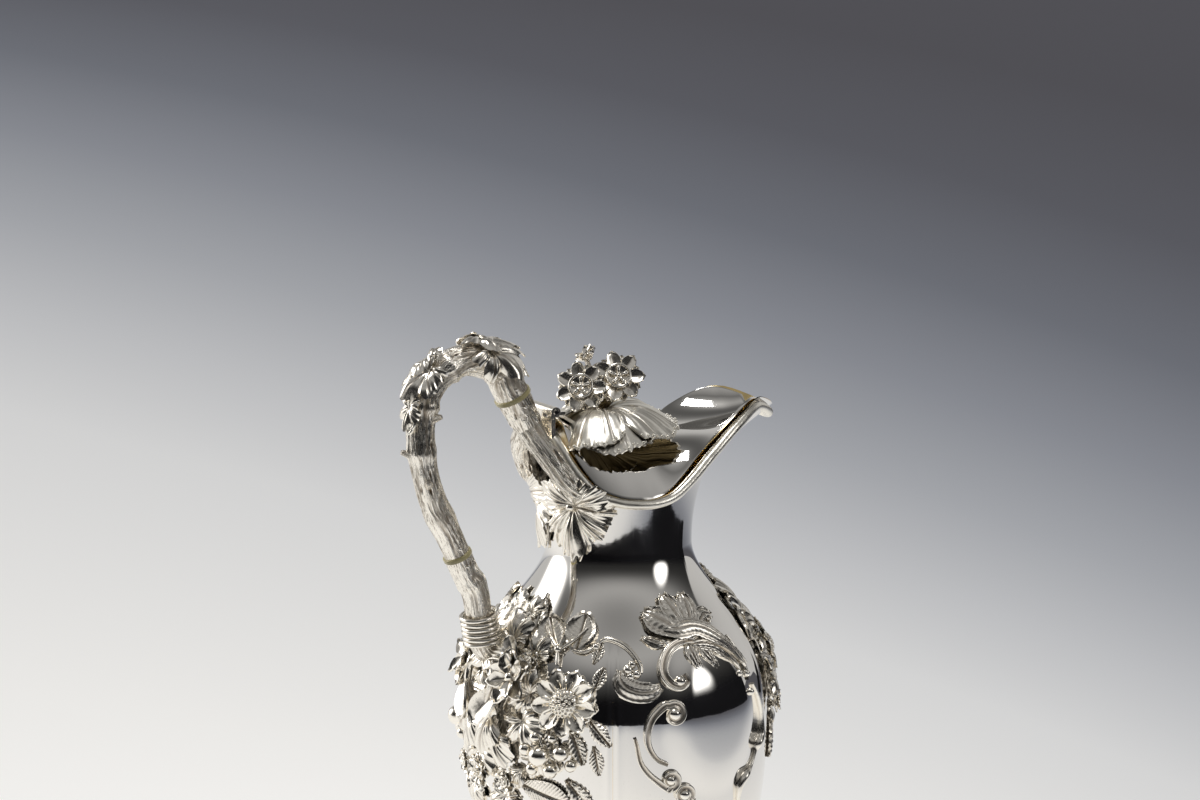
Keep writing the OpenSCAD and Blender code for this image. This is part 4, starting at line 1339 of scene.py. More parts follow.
@dataclass
class Vessel:
    """The raised body, the neck with its spout, the gilt linings and the wire under the rim."""

    panel: tuple[float, float] = (-80, 181)
    crease: float = 122.5

    def build(self, kit: Finishes) -> None:
        """Builds and settles the vessel's pieces."""
        kit.settle(self.body(), kit.polished, "body_shell", crease=80)
        kit.settle(self.body_lining(), kit.gilt)
        outer, inner = (0, JUG.wall/2), (JUG.wall/2+0.03, JUG.wall)
        kit.settle(self.neck("neck_with_spout", outer, 240), kit.polished, "neck_shell", crease=70)
        kit.settle(self.neck("gilt_neck_lining", inner, 160), kit.gilt, crease=70)
        kit.settle(self.wire(), kit.satin, "rim_wire", crease=70)

    def chasing(self, angle: float, z: float) -> float:
        """Height of the chased relief of the body, in millimetres."""
        side = abs(angle)
        across = (side-abs(self.panel[0]))/25
        up = (z-self.panel[1])/38
        boss = 1-min(1.0, across*across+up*up)
        swell = 1.7*smoothstep(0, 0.75, boss)
        run = smoothstep(120, 150, z)*smoothstep(217, 209, z)
        groove = bump(side-self.crease, 0.5)
        ridge = bump(side-self.crease-1.5, 1.0)+bump(side-self.crease+1.5, 1.0)
        edge = 48-0.12*(z-190)
        lobe = bump(side-edge, 2.2)*smoothstep(150, 175, z)*smoothstep(236, 215, z)
        return swell+run*(0.5*ridge-0.7*groove)+0.7*lobe

    def heights(self, steps: int, low: float) -> list[float]:
        """Heights up the body, closest near its top."""
        return [mix(low, JUG.neck_h, sin(pi/2*i/steps)**1.15) for i in range(steps+1)]

    def skin(self, heights: Sequence[float], depth: float, least: float) -> list[tuple[float, float]]:
        """Radius and height at each height, that deep under the body's outside."""
        walls = [depth/max(0.35, cos(JUG.body_lean(z))) for z in heights]
        return [(max(least, JUG.body_r(z)-w), z) for z, w in zip(heights, walls)]

    def body(self) -> Piece:
        """The outside of the body, chased with two plain swelling panels."""
        low, half = JUG.seat_h, JUG.wall/2
        rise = self.heights(120, low)
        outer = [(JUG.body_r(z), z) for z in rise]
        inner = [(r, max(z, low+half)) for r, z in self.skin(rise[::4][::-1], half, 0.3)]
        obj = turned("raised_body", [(0, low), *outer, *inner, (0, low+half)], 288)
        for vertex in obj.data.vertices:
            p = vertex.co
            r = hypot(p.x, p.y)
            if r >= 5:
                out = self.chasing(degrees(atan2(p.y, p.x)), p.z)
                p.x, p.y = p.x*(1+out/r), p.y*(1+out/r)
        return obj

    def body_lining(self) -> Piece:
        """The gilt inside of the body."""
        low = JUG.seat_h+0.5
        rise = self.heights(60, low)
        inner = [(r, max(z, low+0.4)) for r, z in self.skin(rise[::-1], JUG.wall, 0.2)]
        profile = [(0, low), *self.skin(rise, 0.55, 0.2), *inner, (0, low+0.4)]
        return turned("gilt_body_lining", profile, 144)

    def neck(self, name: str, deep: tuple[float, float], columns: int) -> Piece:
        """A closed wall of the wavy neck and its lip, between two depths under its outside."""
        rows = 36
        flat = rows*2+2

        def place(u: float, v: float) -> Vector:
            """A point of the wall: up its outside, down its inside and back."""
            angle = 360*u-180
            k = v*flat
            if k <= rows:
                return JUG.neck_point(angle, k/rows, deep[0])
            if k >= flat-1:
                return JUG.neck_point(angle, 0, deep[0] if k > flat-0.5 else deep[1])
            return JUG.neck_point(angle, 1-(k-rows-1)/rows, deep[1])

        return close(sheet(name, columns, flat, place), ends=False)

    def wire(self) -> Piece:
        """The rounded wire under the rim, from one side of the hinge round the tip."""
        steps, start, thick, out, drop = 260, 172, 2.2, 1.23, 0.98
        points = []
        for i in range(steps+1):
            angle = mix(start, -start, i/steps)
            way = JUG.neck_lean(angle, 1)
            z = JUG.rim_z(angle)-out*way[0]-drop
            points.append(polar(JUG.rim_r(angle)+out*way[1], radians(angle), z))

        def radius(turn: float, v: float) -> float:
            """Radius with a little wear, less at its ends."""
            wear = 0.03*noise.noise(Vector((cos(turn), sin(turn), v*60)))
            ends = min(1.0, v*60, (1-v)*60)
            return thick*(0.96+wear)*(0.5+0.5*ends)

        return rod("rim_band", points, radius, 28, (0, 0, 1))


@dataclass
class Handle:
    """The branch handle: grip, ivory rings and pins, the two sockets and the tendril."""

    reach: float = 100
    top_h: float = 339
    low_h: float = 252
    grip_top_r: float = 8.0
    grip_low_r: float = 6.2
    ring_up: Vector = field(default_factory=lambda: Vector((-54.5, 0, 321)))
    ring_low: Vector = field(default_factory=lambda: Vector((-82.5, 0, 252)))
    up_lean: float = 28
    low_lean: float = 25
    ivory_h: float = 2.2
    peg: float = 7

    @property
    def rings(self) -> tuple[tuple[str, Vector, float, float], ...]:
        """The ivory rings: node, middle, lean and the radius of the branch there."""
        return (("upper_ring", self.ring_up, self.up_lean, self.grip_top_r),
                ("lower_ring", self.ring_low, self.low_lean, self.grip_low_r))

    def way(self, lean: float) -> Vector:
        """Direction of the handle's centre line at a ring, towards the jug."""
        a = radians(lean)
        return Vector((sin(a), 0, -cos(a)))

    def grip_line(self) -> list[Vector]:
        """The centre line of the grip, from the upper ring to the lower one."""
        up, low = self.way(self.up_lean), self.way(self.low_lean)
        x, y = self.ring_up.x, self.ring_low.x
        half = self.ivory_h/2
        return smooth([
            self.ring_up-up*half,
            self.ring_up-up*(half+6),
            (x-6.5, 0, mix(self.ring_up.z, self.top_h, 0.66)),
            (mix(x, -self.reach, 0.31), 0, self.top_h-2),
            (mix(x, -self.reach, 0.55), 0, self.top_h),
            (mix(x, -self.reach, 0.79), 0, self.top_h-5),
            (mix(x, -self.reach, 0.94), 0, self.top_h-14),
            (-self.reach, 0, self.top_h-27),
            (mix(y, -self.reach, 0.95), 0, mix(self.low_h, self.top_h, 0.52)),
            (mix(y, -self.reach, 0.73), 0, mix(self.low_h, self.top_h, 0.32)),
            self.ring_low-low*(half+7),
            self.ring_low-low*half,
        ], 20)

    def grip_r(self, share: float) -> float:
        """Mean radius of the grip: it thins downwards and swells at its knots."""
        r = mix(self.grip_top_r, self.grip_low_r, min(1, share*1.25))-0.25
        for knot, size in ((0.2, 0.7), (0.42, 0.8), (0.58, 0.9), (0.71, 0.6), (0.86, 0.7)):
            r += size*bump(share-knot, 0.018)
        return r

    def grip_warp(
        self, share: float, roll: float, turn: float, out: float, lift: float, size: float = 1
    ) -> Warp:
        """Lays a flat model on the grip.

        Args:
            share: Place of its root along the grip.
            roll: Turn round the grip, 0 on the near side and 90 on the outer side.
            turn: Turn of the way it grows, from down the grip, in degrees.
            out: Height of its root over the bark.
            lift: Rise of its far ends off the bark.
            size: Scale of the model.

        Returns:
            The warp.
        """
        line = self.grip_line()
        far = lengths(line)
        ring = frames(line, (0, -1, 0))
        t = radians(turn)

        def warp(p: Vector) -> Vector:
            """The place on the grip of a point of the model."""
            x, y, h = p*size
            along = far[-1]*share+x*cos(t)-y*sin(t)
            along = min(far[-1]-0.1, max(0.1, along))
            across = x*sin(t)+y*cos(t)
            i = max(k for k, d in enumerate(far) if d <= along)
            step = (along-far[i])/(far[i+1]-far[i])
            r = self.grip_r(along/far[-1])
            a = radians(roll)+across/(r+2.5)
            middle = line[i].lerp(line[i+1], step)
            rise = r+h+out+lift*(x*x+y*y)/100
            return middle+(ring[i][0]*cos(a)+ring[i][1]*sin(a))*rise

        return warp

    def build(self, kit: Finishes) -> None:
        """Builds and settles the handle's pieces."""
        line = self.grip_line()
        grip = branch("branch_grip", line, self.grip_r, 0.62, 3.1, 112)
        twigs = self.twigs()
        kit.settle(gather("branch_grip", [grip, *twigs]), kit.bark, "handle_grip", crease=70)
        for name, place, lean, r in self.rings:
            kit.settle(self.ivory_ring(name, place, lean, r), kit.ivory, name, crease=45)
        kit.settle(self.pins(), kit.polished, "ring_pins", crease=45)
        kit.settle(self.upper_socket(), kit.bark, "upper_socket", crease=70)
        kit.settle(self.lower_socket(), kit.bark, "lower_socket", crease=70)
        kit.settle(self.tendril(), kit.cast, "tendril", crease=70)
        kit.settle(self.grip_leaves(), kit.cast, "grip_leaves")
        leaf, fold = self.neck_leaf(), self.neck_fold()
        for name, side in (("near_vine_leaf", -1), ("far_vine_leaf", 1)):
            piece = gather(name+"_cast", self.neck_leaf_at(leaf, fold, side))
            kit.settle(piece, kit.cast, name)
        scrap(leaf, fold)

    def twigs(self) -> list[Piece]:
        """Cut twig stubs and a curled tendril on the outside of the grip."""
        parts = []
        for share, roll, length in ((0.33, 60, 5), (0.62, 100, 4), (0.72, 20, 4), (0.5, -40, 4)):
            warp = self.grip_warp(share, roll, 180, -1.2, 0)
            line = [warp(Vector((k*0.3, 0, k*length/6))) for k in range(7)]
            parts.append(branch("twig", line, lambda v: mix(2.2, 1.1, v), 0.25, share*9, 20,
                                (0.3, 0.8, 0.1)))
        turns = [(mix(3.4, 0.9, k/48), FULL*1.6*k/48) for k in range(0, 49, 3)]
        coil = [Vector((r*cos(a)-1.5, r*sin(a), 0.9)) for r, a in turns]
        lead = [Vector((-17+k*2.6, 6*sin(k*0.8)*0.5+1, 0.5)) for k in range(7)]
        warp = self.grip_warp(0.53, 62, 0, 0.3, 0)
        line = [warp(p) for p in smooth([*lead, *coil], 3)]
        parts.append(rod("curl", line, lambda turn, v: 0.95-0.3*v, 8, (0.2, 0.9, 0.3)))
        return parts

    def ivory_ring(self, name: str, place: Vector, lean: float, r: float) -> Piece:
        """A turned ivory ring with a soft edge, and its peg on each side."""
        half, out, peg = self.ivory_h/2, r+0.5, 2.8
        profile = [(0, -self.peg-half), (peg, -self.peg-half), (peg, -half), (out-0.5, -half)]
        profile += [
            (out-0.5+0.5*cos(a), (half-0.5)*(1 if a > 0 else -1)+0.5*sin(a))
            for a in [radians(15*k) for k in range(-5, 6) if k]
        ]
        profile += [(out-0.5, half), (peg, half), (peg, self.peg+half), (0, self.peg+half)]
        turn = spin(180-lean, "Y")
        return move(turned(name+"_ivory", profile, 64), lambda p: place+turn @ p)

    def pins(self) -> Piece:
        """The four silver pins with rounded heads."""
        parts = []
        turn = spin(90, "X")
        for _, place, lean, r in self.rings:
            for way in (-1, 1):
                at = place+self.way(lean)*way*(self.ivory_h/2+self.peg/2)
                length = r+0.85
                profile = [(0, -length-0.3), (0.45, -length-0.15), (0.7, -length+0.2),
                           (0.7, length-0.2), (0.45, length+0.15), (0, length+0.3)]
                parts.append(move(turned("pin", profile, 20), lambda p: at+turn @ p))
        return gather("ivory_pins", parts)

    def branch_line(self, side: int) -> list[Vector]:
        """The way that one branch takes round the neck."""

        def beside(angle: float, z: float, out: float) -> Vector:
            """A point beside the neck."""
            return polar(JUG.neck_out_r(angle, z)+out, radians(angle), z)

        fork = self.ring_up+self.way(self.up_lean)*16
        return smooth([
            self.ring_up+self.way(self.up_lean)*7,
            fork,
            beside(side*166, mix(JUG.dip_h, JUG.back_h, 0.66), 8),
            beside(side*152, mix(JUG.dip_h, JUG.back_h, 0.24), 4.5),
            beside(side*139, JUG.dip_h+2, 3.0),
            beside(side*128, JUG.dip_h-1.5, 1.6),
        ], 14)

    def upper_socket(self) -> Piece:
        """The stub under the upper ring and the two branches that hold the neck."""
        up = self.way(self.up_lean)
        start = self.ring_up+up*self.ivory_h/2
        stub = smooth([start, start+up*5, start+up*11, start+up*17], 10)
        parts = [branch("stub", stub, lambda v: mix(7.6, 6.0, v**1.5), 0.6, 8.0, 96)]
        taper = (6.0, 6.2, 5.3, 5.0, 2.4, 1.2)
        for side in (-1, 1):
            line = self.branch_line(side)

            def radius(v: float) -> float:
                """Mean radius of an arm."""
                k = min(4, int(v*5))
                return mix(taper[k], taper[k+1], v*5-k)

            parts.append(branch("arm", line, radius, 0.6, 12+side, 72))
        for turn, along in ((20, 8), (-35, 13), (95, 10), (200, 8), (300, 12)):
            a = radians(turn)
            out = Vector((0, -1, 0))*cos(a)+self.way(self.up_lean-90)*sin(a)
            at = start+up*along
            parts.append(self.knot(at+out*5.6, out, 2.0))
        return gather("forked_socket", parts)

    def knot(self, at: Vector, out: Vector, r: float) -> Piece:
        """The scar of a cut twig: a low collar round a dark pit."""
        profile = [(0, -1.5), (r, -1.5), (r*1.05, 0.3)]
        profile += arc((r*0.8, 0.9), (0.5, 0.5), 30, 0, 6)
        profile += [(r*0.35, 0.1), (0, 0.0)]
        made = turned("knot", profile, 24)
        turn = out.to_track_quat("Z", "Y")
        for k, vertex in enumerate(made.data.vertices):
            p = vertex.co
            inside = hypot(p.x, p.y) < r*0.6 and p.z > -1
            made.data.attributes["hollow"].data[k].value = 1.0 if inside else 0.0
            vertex.co = at+turn @ (p+Vector((0.15*sin(5*p.y), 0.2*cos(4*p.x), 0)))
        return made

    def socket_line(self) -> list[Vector]:
        """The centre line of the lower socket, from its ring to the shoulder."""
        low, half = self.way(self.low_lean), self.ivory_h/2
        end = JUG.belly_h+0.4*(JUG.neck_h-JUG.belly_h)
        r = JUG.belly_r
        return [
            self.ring_low+low*half,
            self.ring_low+low*(half+7.5),
            Vector((-r-6.3, 0, mix(end, self.low_h, 0.66))),
            Vector((-r-4, 0, mix(end, self.low_h, 0.4))),
            Vector((-r-2.2, 0, mix(end, self.low_h, 0.16))),
            Vector((-JUG.body_r(end)-1, 0, end)),
        ]

    def lower_socket(self) -> Piece:
        """The branch between the lower ring and the shoulder."""
        line = smooth(self.socket_line(), 12)
        return branch("shoulder_socket", line, lambda v: 6.0+0.5*bump(v-0.33, 0.05), 0.6, 21.0, 96)

    def tendril(self) -> Piece:
        """The tendril wound six times round the socket, one unbroken rod."""
        line = self.socket_line()
        axis = (line[4]-line[2]).normalized()
        middle = line[3].lerp(line[4], 0.42)
        across = axis.cross(Vector((0, 1, 0)))
        turns, pitch, thick = 6, 2.3, 1.05
        r = self.grip_low_r+0.5+thick

        def at(turn: float, radius: float) -> Vector:
            """A point round the socket."""
            a = FULL*turn
            return (middle+axis*(turn*pitch-turns*pitch/2)
                    + (across*cos(a)+Vector((0, 1, 0))*sin(a))*radius)

        points = [at(0, r-1.5)]
        points += [at(i/32, r) for i in range(turns*32+1)]
        points.append(at(turns, r-1.5))

        def radius(turn: float, v: float) -> float:
            """Radius with its beading."""
            return thick*(1+0.1*cos(turn*2+v*140))

        return rod("wound_tendril", points, radius, 12, axis, lambda u, v: 0.5*max(0.0, cos(FULL*u*2)))

    def grip_leaves(self) -> Piece:
        """Vine leaves that lie over the arch of the grip."""
        big = LobedLeaf(
            length=15, droop=0.4, ruffle=1.3, rib=0.15, ribs=28, swell=2.1, thick=0.8,
            lobes=((0, 1, 40), (-60, 0.9, 38), (60, 0.9, 38), (-118, 0.72, 36), (118, 0.72, 36)),
        )
        model = big.model("grip_leaf")
        places = (
            (0.175, 42, 200, 1.0, 1.6, 1.02), (0.2, 96, 190, 1.2, 2.0, 0.9),
            (0.2, 150, 170, 1.0, 1.6, 0.95), (0.36, 60, 20, 1.0, 1.6, 0.86),
            (0.33, 120, 10, 1.2, 1.6, 0.8), (0.47, 78, 0, 0.9, 1.4, 0.6),
            (0.11, 60, 190, 1.0, 2.0, 0.62),
        )
        parts = [stamp(model, self.grip_warp(*place)) for place in places]
        scrap(model)
        return gather("leaves_on_grip", parts)

    def neck_leaf(self) -> Piece:
        """The large ribbed leaf that hangs where each branch ends."""
        return LobedLeaf(
            length=23.8, droop=0, ruffle=1.3, rib=0.13, ribs=52, swell=2.8, bay=0.76, thick=1.1,
            lobes=((-5, 1, 30), (44, 0.78, 32), (88, 0.80, 34), (-48, 0.72, 30), (-92, 0.56, 30)),
            spread=124, rise=0.05, lip=0.5, columns=248, rows=20,
        ).model("neck_leaf")

    def neck_fold(self) -> Piece:
        """The leaf that folds up over the wire above the large one."""
        return LobedLeaf(
            length=19, droop=0, ruffle=1.4, rib=0.13, ribs=48, swell=2.8, bay=0.74, thick=1.1,
            lobes=((78, 1, 34), (34, 0.6, 36), (-12, 0.5, 36), (-62, 0.8, 36)),
            spread=104, rise=0.1, lip=0.5, columns=200, rows=14,
        ).model("neck_fold")

    def neck_leaf_at(self, leaf: Piece, fold: Piece, side: int) -> list[Piece]:
        """The two leaves laid on the neck, with a bud over their root."""
        hang = JUG.neck_warp(side*155, JUG.dip_h-2.5, 0, 1.5)
        over = JUG.neck_warp(side*151, JUG.dip_h-1.5, 180, 4.4)
        parts = [stamp(leaf, hang, -side), stamp(fold, over, -side)]
        parts.append(ball(hang(Vector((0, 0, 2.4))), 2.1, 3))
        return parts


@dataclass
class Sprays:
    """Flowers, leaves and berries on the body, under the handle and below the spout."""

    def models(self) -> dict[str, Piece]:
        """The flowers and leaves that the sprays are put together from."""
        return {
            "vine": LobedLeaf(length=16, droop=1.4, ruffle=1.3, rib=0.16, ribs=30, swell=2.2,
                              thick=1.1, columns=88, rows=10).model(),
            "oval": BladeLeaf(length=18, width=13, fold=0.2, curl=-1.6, tooth=0.0, veins=9,
                              rib=0.1, droop=0.2, fullest=0.42, thick=1.2).model(),
            "blade": BladeLeaf(length=19, width=9, fold=1.8, tooth=0.16, veins=8, rib=0.42,
                               thick=1.1).model(),
            "fluted": LobedLeaf(length=20, lobes=((0, 1, 46), (-40, 0.74, 34), (40, 0.74, 34)),
                                spread=64, droop=1.6, ruffle=1.6, rib=0.3, ribs=36, swell=2.2,
                                thick=1.2, columns=72, rows=12).model(),
            "broad": BladeLeaf(length=27, width=13, fold=0.4, curl=0.3, tooth=0.05, veins=17,
                               rib=0.3, droop=0.4, fullest=0.55, thick=1.2, columns=18,
                               rows=60).model(),
            "petal": Petal(length=17, width=10, lift=2.6, cup=2.0, crease=0.8, thick=0.9).model(),
            "sunflower": Blossom(28, ((9, 1, 1.6, 0.6), (9, 0.88, 0.4, -0.4)), Centre.SEEDS,
                                 6.0, width=0.66, cup=1.7, point=0.2).model(),
            "lily": Blossom(27, ((5, 1, 3.6, 1.0), (4, 0.72, 4.6, 2.4)), Centre.BEAD, 2.4,
                            width=0.8, cup=2.2, point=0.6).model(),
            "rose": Blossom(19, ((5, 1, 2.2, 0.8), (5, 0.7, 3.2, 2.0)), Centre.STAR, 3.6,
                            width=0.92, cup=1.4).model(),
            "daisy": Blossom(22, ((8, 1, 1.8, 0.6), (7, 0.74, 2.8, 1.6)), Centre.CROWN, 4.2,
                             width=0.76, cup=1.4, point=0.3).model(),
        }

    def under_handle(self) -> tuple[Sequence[tuple], Sequence[tuple]]:
        """Places in the handle's spray: model, angle, height, turn, out, size and tilt."""
        leaves = (
            ("oval", 148.8, 210.4, 152, 0.6, 0.98, 0.07), ("oval", 139.6, 211.6, 184, 0.6, 0.98, 0.07),
            ("blade", 144.4, 212, 170, 0.5, 0.6, 0.05), ("blade", 131, 207, 196, 0.5, 0.55, 0.05),
            ("vine", 171, 210, 150, 3.0, 0.95, 0.22), ("vine", 158, 207, 150, 1.4, 0.8, 0.1),
            ("blade", 164, 216, 170, 0.8, 0.9, 0.1), ("fluted", 176, 203, 100, 4.5, 0.8, 0.25),
            ("vine", 175, 189, 30, 4.0, 0.8, 0.16), ("vine", 156, 192, 110, 1.2, 0.85, 0.1),
            ("fluted", 173, 181, 12, 3.6, 0.98, 0.14), ("vine", 158, 180, 340, 1.6, 0.9, 0.1),
            ("blade", 138, 179, 340, 0.8, 0.85, 0.14), ("blade", 131.5, 184, 320, 0.6, 0.8, 0.1),
            ("blade", 147, 180, 350, 0.8, 0.9, 0.12), ("fluted", 172, 173, 330, 3.0, 0.85, 0.08),
            ("vine", 180, 164, 0, 3.0, 1.0, 0.1), ("vine", 150, 167, 20, 1.0, 0.8, 0.06),
            ("broad", 159.5, 151.5, 284, 1.8, 0.96, 0.03), ("blade", 140, 156, 320, 0.8, 0.95, 0.08),
            ("blade", 134.5, 152, 345, 0.6, 0.8, 0.05), ("fluted", 158, 158, 40, 2.4, 0.5, 0.1),
            ("blade", 129.5, 172, 350, 0.5, 0.7, 0.05), ("fluted", 150, 144, 350, 0.8, 0.85, 0.05),
            ("vine", 168, 143, 10, 1.0, 0.8, 0.08), ("fluted", 174, 132, 0, 0.6, 0.6, 0.05),
            ("blade", 130, 196, 200, 0.6, 0.6, 0.08), ("vine", 172, 222, 175, 1.2, 0.55, 0.2),
        )
        flowers = (
            ("sunflower", 140.5, 190.4, 0, 2.8, 1.0, 0), ("lily", 163, 197, 20, 5.4, 0.84, 0),
            ("petal", 168, 191.5, 36, 6.0, 1.1, 0.12), ("petal", 164, 203, 150, 5.6, 0.62, 0.2),
            ("petal", 172, 200, 250, 5.6, 0.6, 0.2), ("rose", 165, 151.5, 10, 3.0, 0.62, 0),
            ("daisy", 180, 152, 0, 4.0, 0.7, 0), ("rose", 158, 204, 0, 3.4, 0.55, 0),
        )
        return leaves, flowers

    def below_spout(self) -> tuple[Sequence[tuple], Sequence[tuple]]:
        """Places in the spout's spray, as for the handle's."""
        leaves = (
            ("vine", 0, 214, 180, 2.0, 0.95, 0.1), ("blade", 14, 220, 190, 0.8, 1.0, 0.08),
            ("fluted", 28, 214, 200, 1.0, 0.95, 0.08), ("oval", 40, 206, 205, 0.8, 0.85, 0.06),
            ("vine", 12, 186, 20, 2.6, 1.0, 0.12), ("vine", 31, 188, 330, 2.2, 0.9, 0.12),
            ("fluted", 6, 168, 10, 1.6, 1.0, 0.1), ("blade", 26, 166, 20, 1.4, 1.0, 0.08),
            ("blade", 10, 142, 0, 0.6, 0.95, 0.05), ("fluted", 38, 198, 290, 1.4, 0.75, 0.1),
            ("vine", 20, 170, 350, 1.8, 0.8, 0.06), ("vine", 24, 206, 200, 2.0, 0.85, 0.1),
        )
        flowers = (
            ("sunflower", 21, 197, 0, 3.6, 0.84, 0), ("rose", 3, 197, 0, 4.0, 0.85, 0),
            ("daisy", 12, 154, 0, 2.8, 0.7, 0), ("rose", 34, 176, 0, 2.8, 0.6, 0),
        )
        return leaves, flowers

    def lay(self, models: dict[str, Piece], rows: Sequence[tuple], middle: float) -> list[Piece]:
        """Lays models on both sides of a middle line.

        Args:
            models: The models by name.
            rows: Their places, with the angle measured from the spout, on one side.
            middle: The angle of the line between the sides.

        Returns:
            The laid parts.
        """
        parts = []
        for name, angle, z, turn, out, size, tilt in rows:
            for side in (-1, 1):
                if angle != middle or side < 0:
                    warp = JUG.body_warp(side*angle, z, side*turn, out, size, tilt)
                    parts.append(stamp(models[name], warp, side))
        return parts

    def berries(self) -> list[Piece]:
        """The bunches of round berries beside the lower flowers."""
        rows = (
            (148.8, 167, 4.8), (140.9, 169.1, 3.7), (155.3, 168.5, 3.0), (145, 160.5, 3.4),
            (137.5, 163.5, 2.8), (151.2, 174.6, 2.7), (152.6, 160, 2.8), (144.4, 175, 2.3),
        )
        return [ball(JUG.on_body(side*angle, z, r+0.8), r, 3) for angle, z, r in rows for side in (-1, 1)]

    def twigs(self) -> list[Piece]:
        """The stalks, cut twigs and curled wires among the leaves."""
        rows = (
            ([(178, 204, 5), (174, 200, 7), (171, 194, 7), (174, 184, 6), (177, 176, 4)], 1.9),
            ([(163, 199, 6), (170, 202, 8), (176, 200, 8), (168.6, 195, 8)], 0.7),
            ([(158, 219, 1), (152, 214, 2), (147.6, 210.6, 2.2), (146, 205, 2)], 1.0),
            ([(136, 220, 1), (141, 215, 2), (146.6, 210.8, 2.2)], 0.8),
            ([(141, 211.5, 1.2), (136, 210.8, 1.8), (131, 213, 1.2)], 0.7),
            ([(172, 222, 1), (176, 216, 2.5), (171, 212.5, 3), (167.5, 217, 2.6), (170, 221, 2)], 1.3),
            ([(169, 224, 0.8), (168.5, 228, 0.8), (169.5, 231, 0.5)], 0.9),
            ([(150, 176, 3), (148, 172, 4.5), (146, 166, 4)], 0.6),
        )
        parts = []
        for points, r in rows:
            for side in (-1, 1):
                line = [JUG.on_body(side*a, z, out) for a, z, out in smooth(points, 6)]
                parts.append(branch("twig", line, lambda v, r=r: r*(1.1-0.3*v), 0.16*r, r*3+side, 18,
                                    (0.3, 0.2, 0.9)))
        for side in (-1, 1):
            parts.append(ball(JUG.on_body(side*130.4, 213.2, 1.6), 1.7, 3))
            parts.append(ball(JUG.on_body(side*147.2, 210.8, 2.6), 1.9, 3))
        return parts

    def build(self, kit: Finishes) -> None:
        """Builds and settles the sprays."""
        models = self.models()
        leaves, flowers = self.under_handle()
        parts = self.lay(models, leaves, 180)+self.twigs()
        kit.settle(gather("leaves_under_handle", parts), kit.cast, "handle_spray")
        parts = self.lay(models, flowers, 180)+self.berries()
        kit.settle(gather("flowers_under_handle", parts), kit.cast, "handle_spray_flowers")
        parts = self.lay(models, sum(self.below_spout(), ()), 0)
        kit.settle(gather("spray_below_spout", parts), kit.cast, "spout_spray")
        scrap(*models.values())


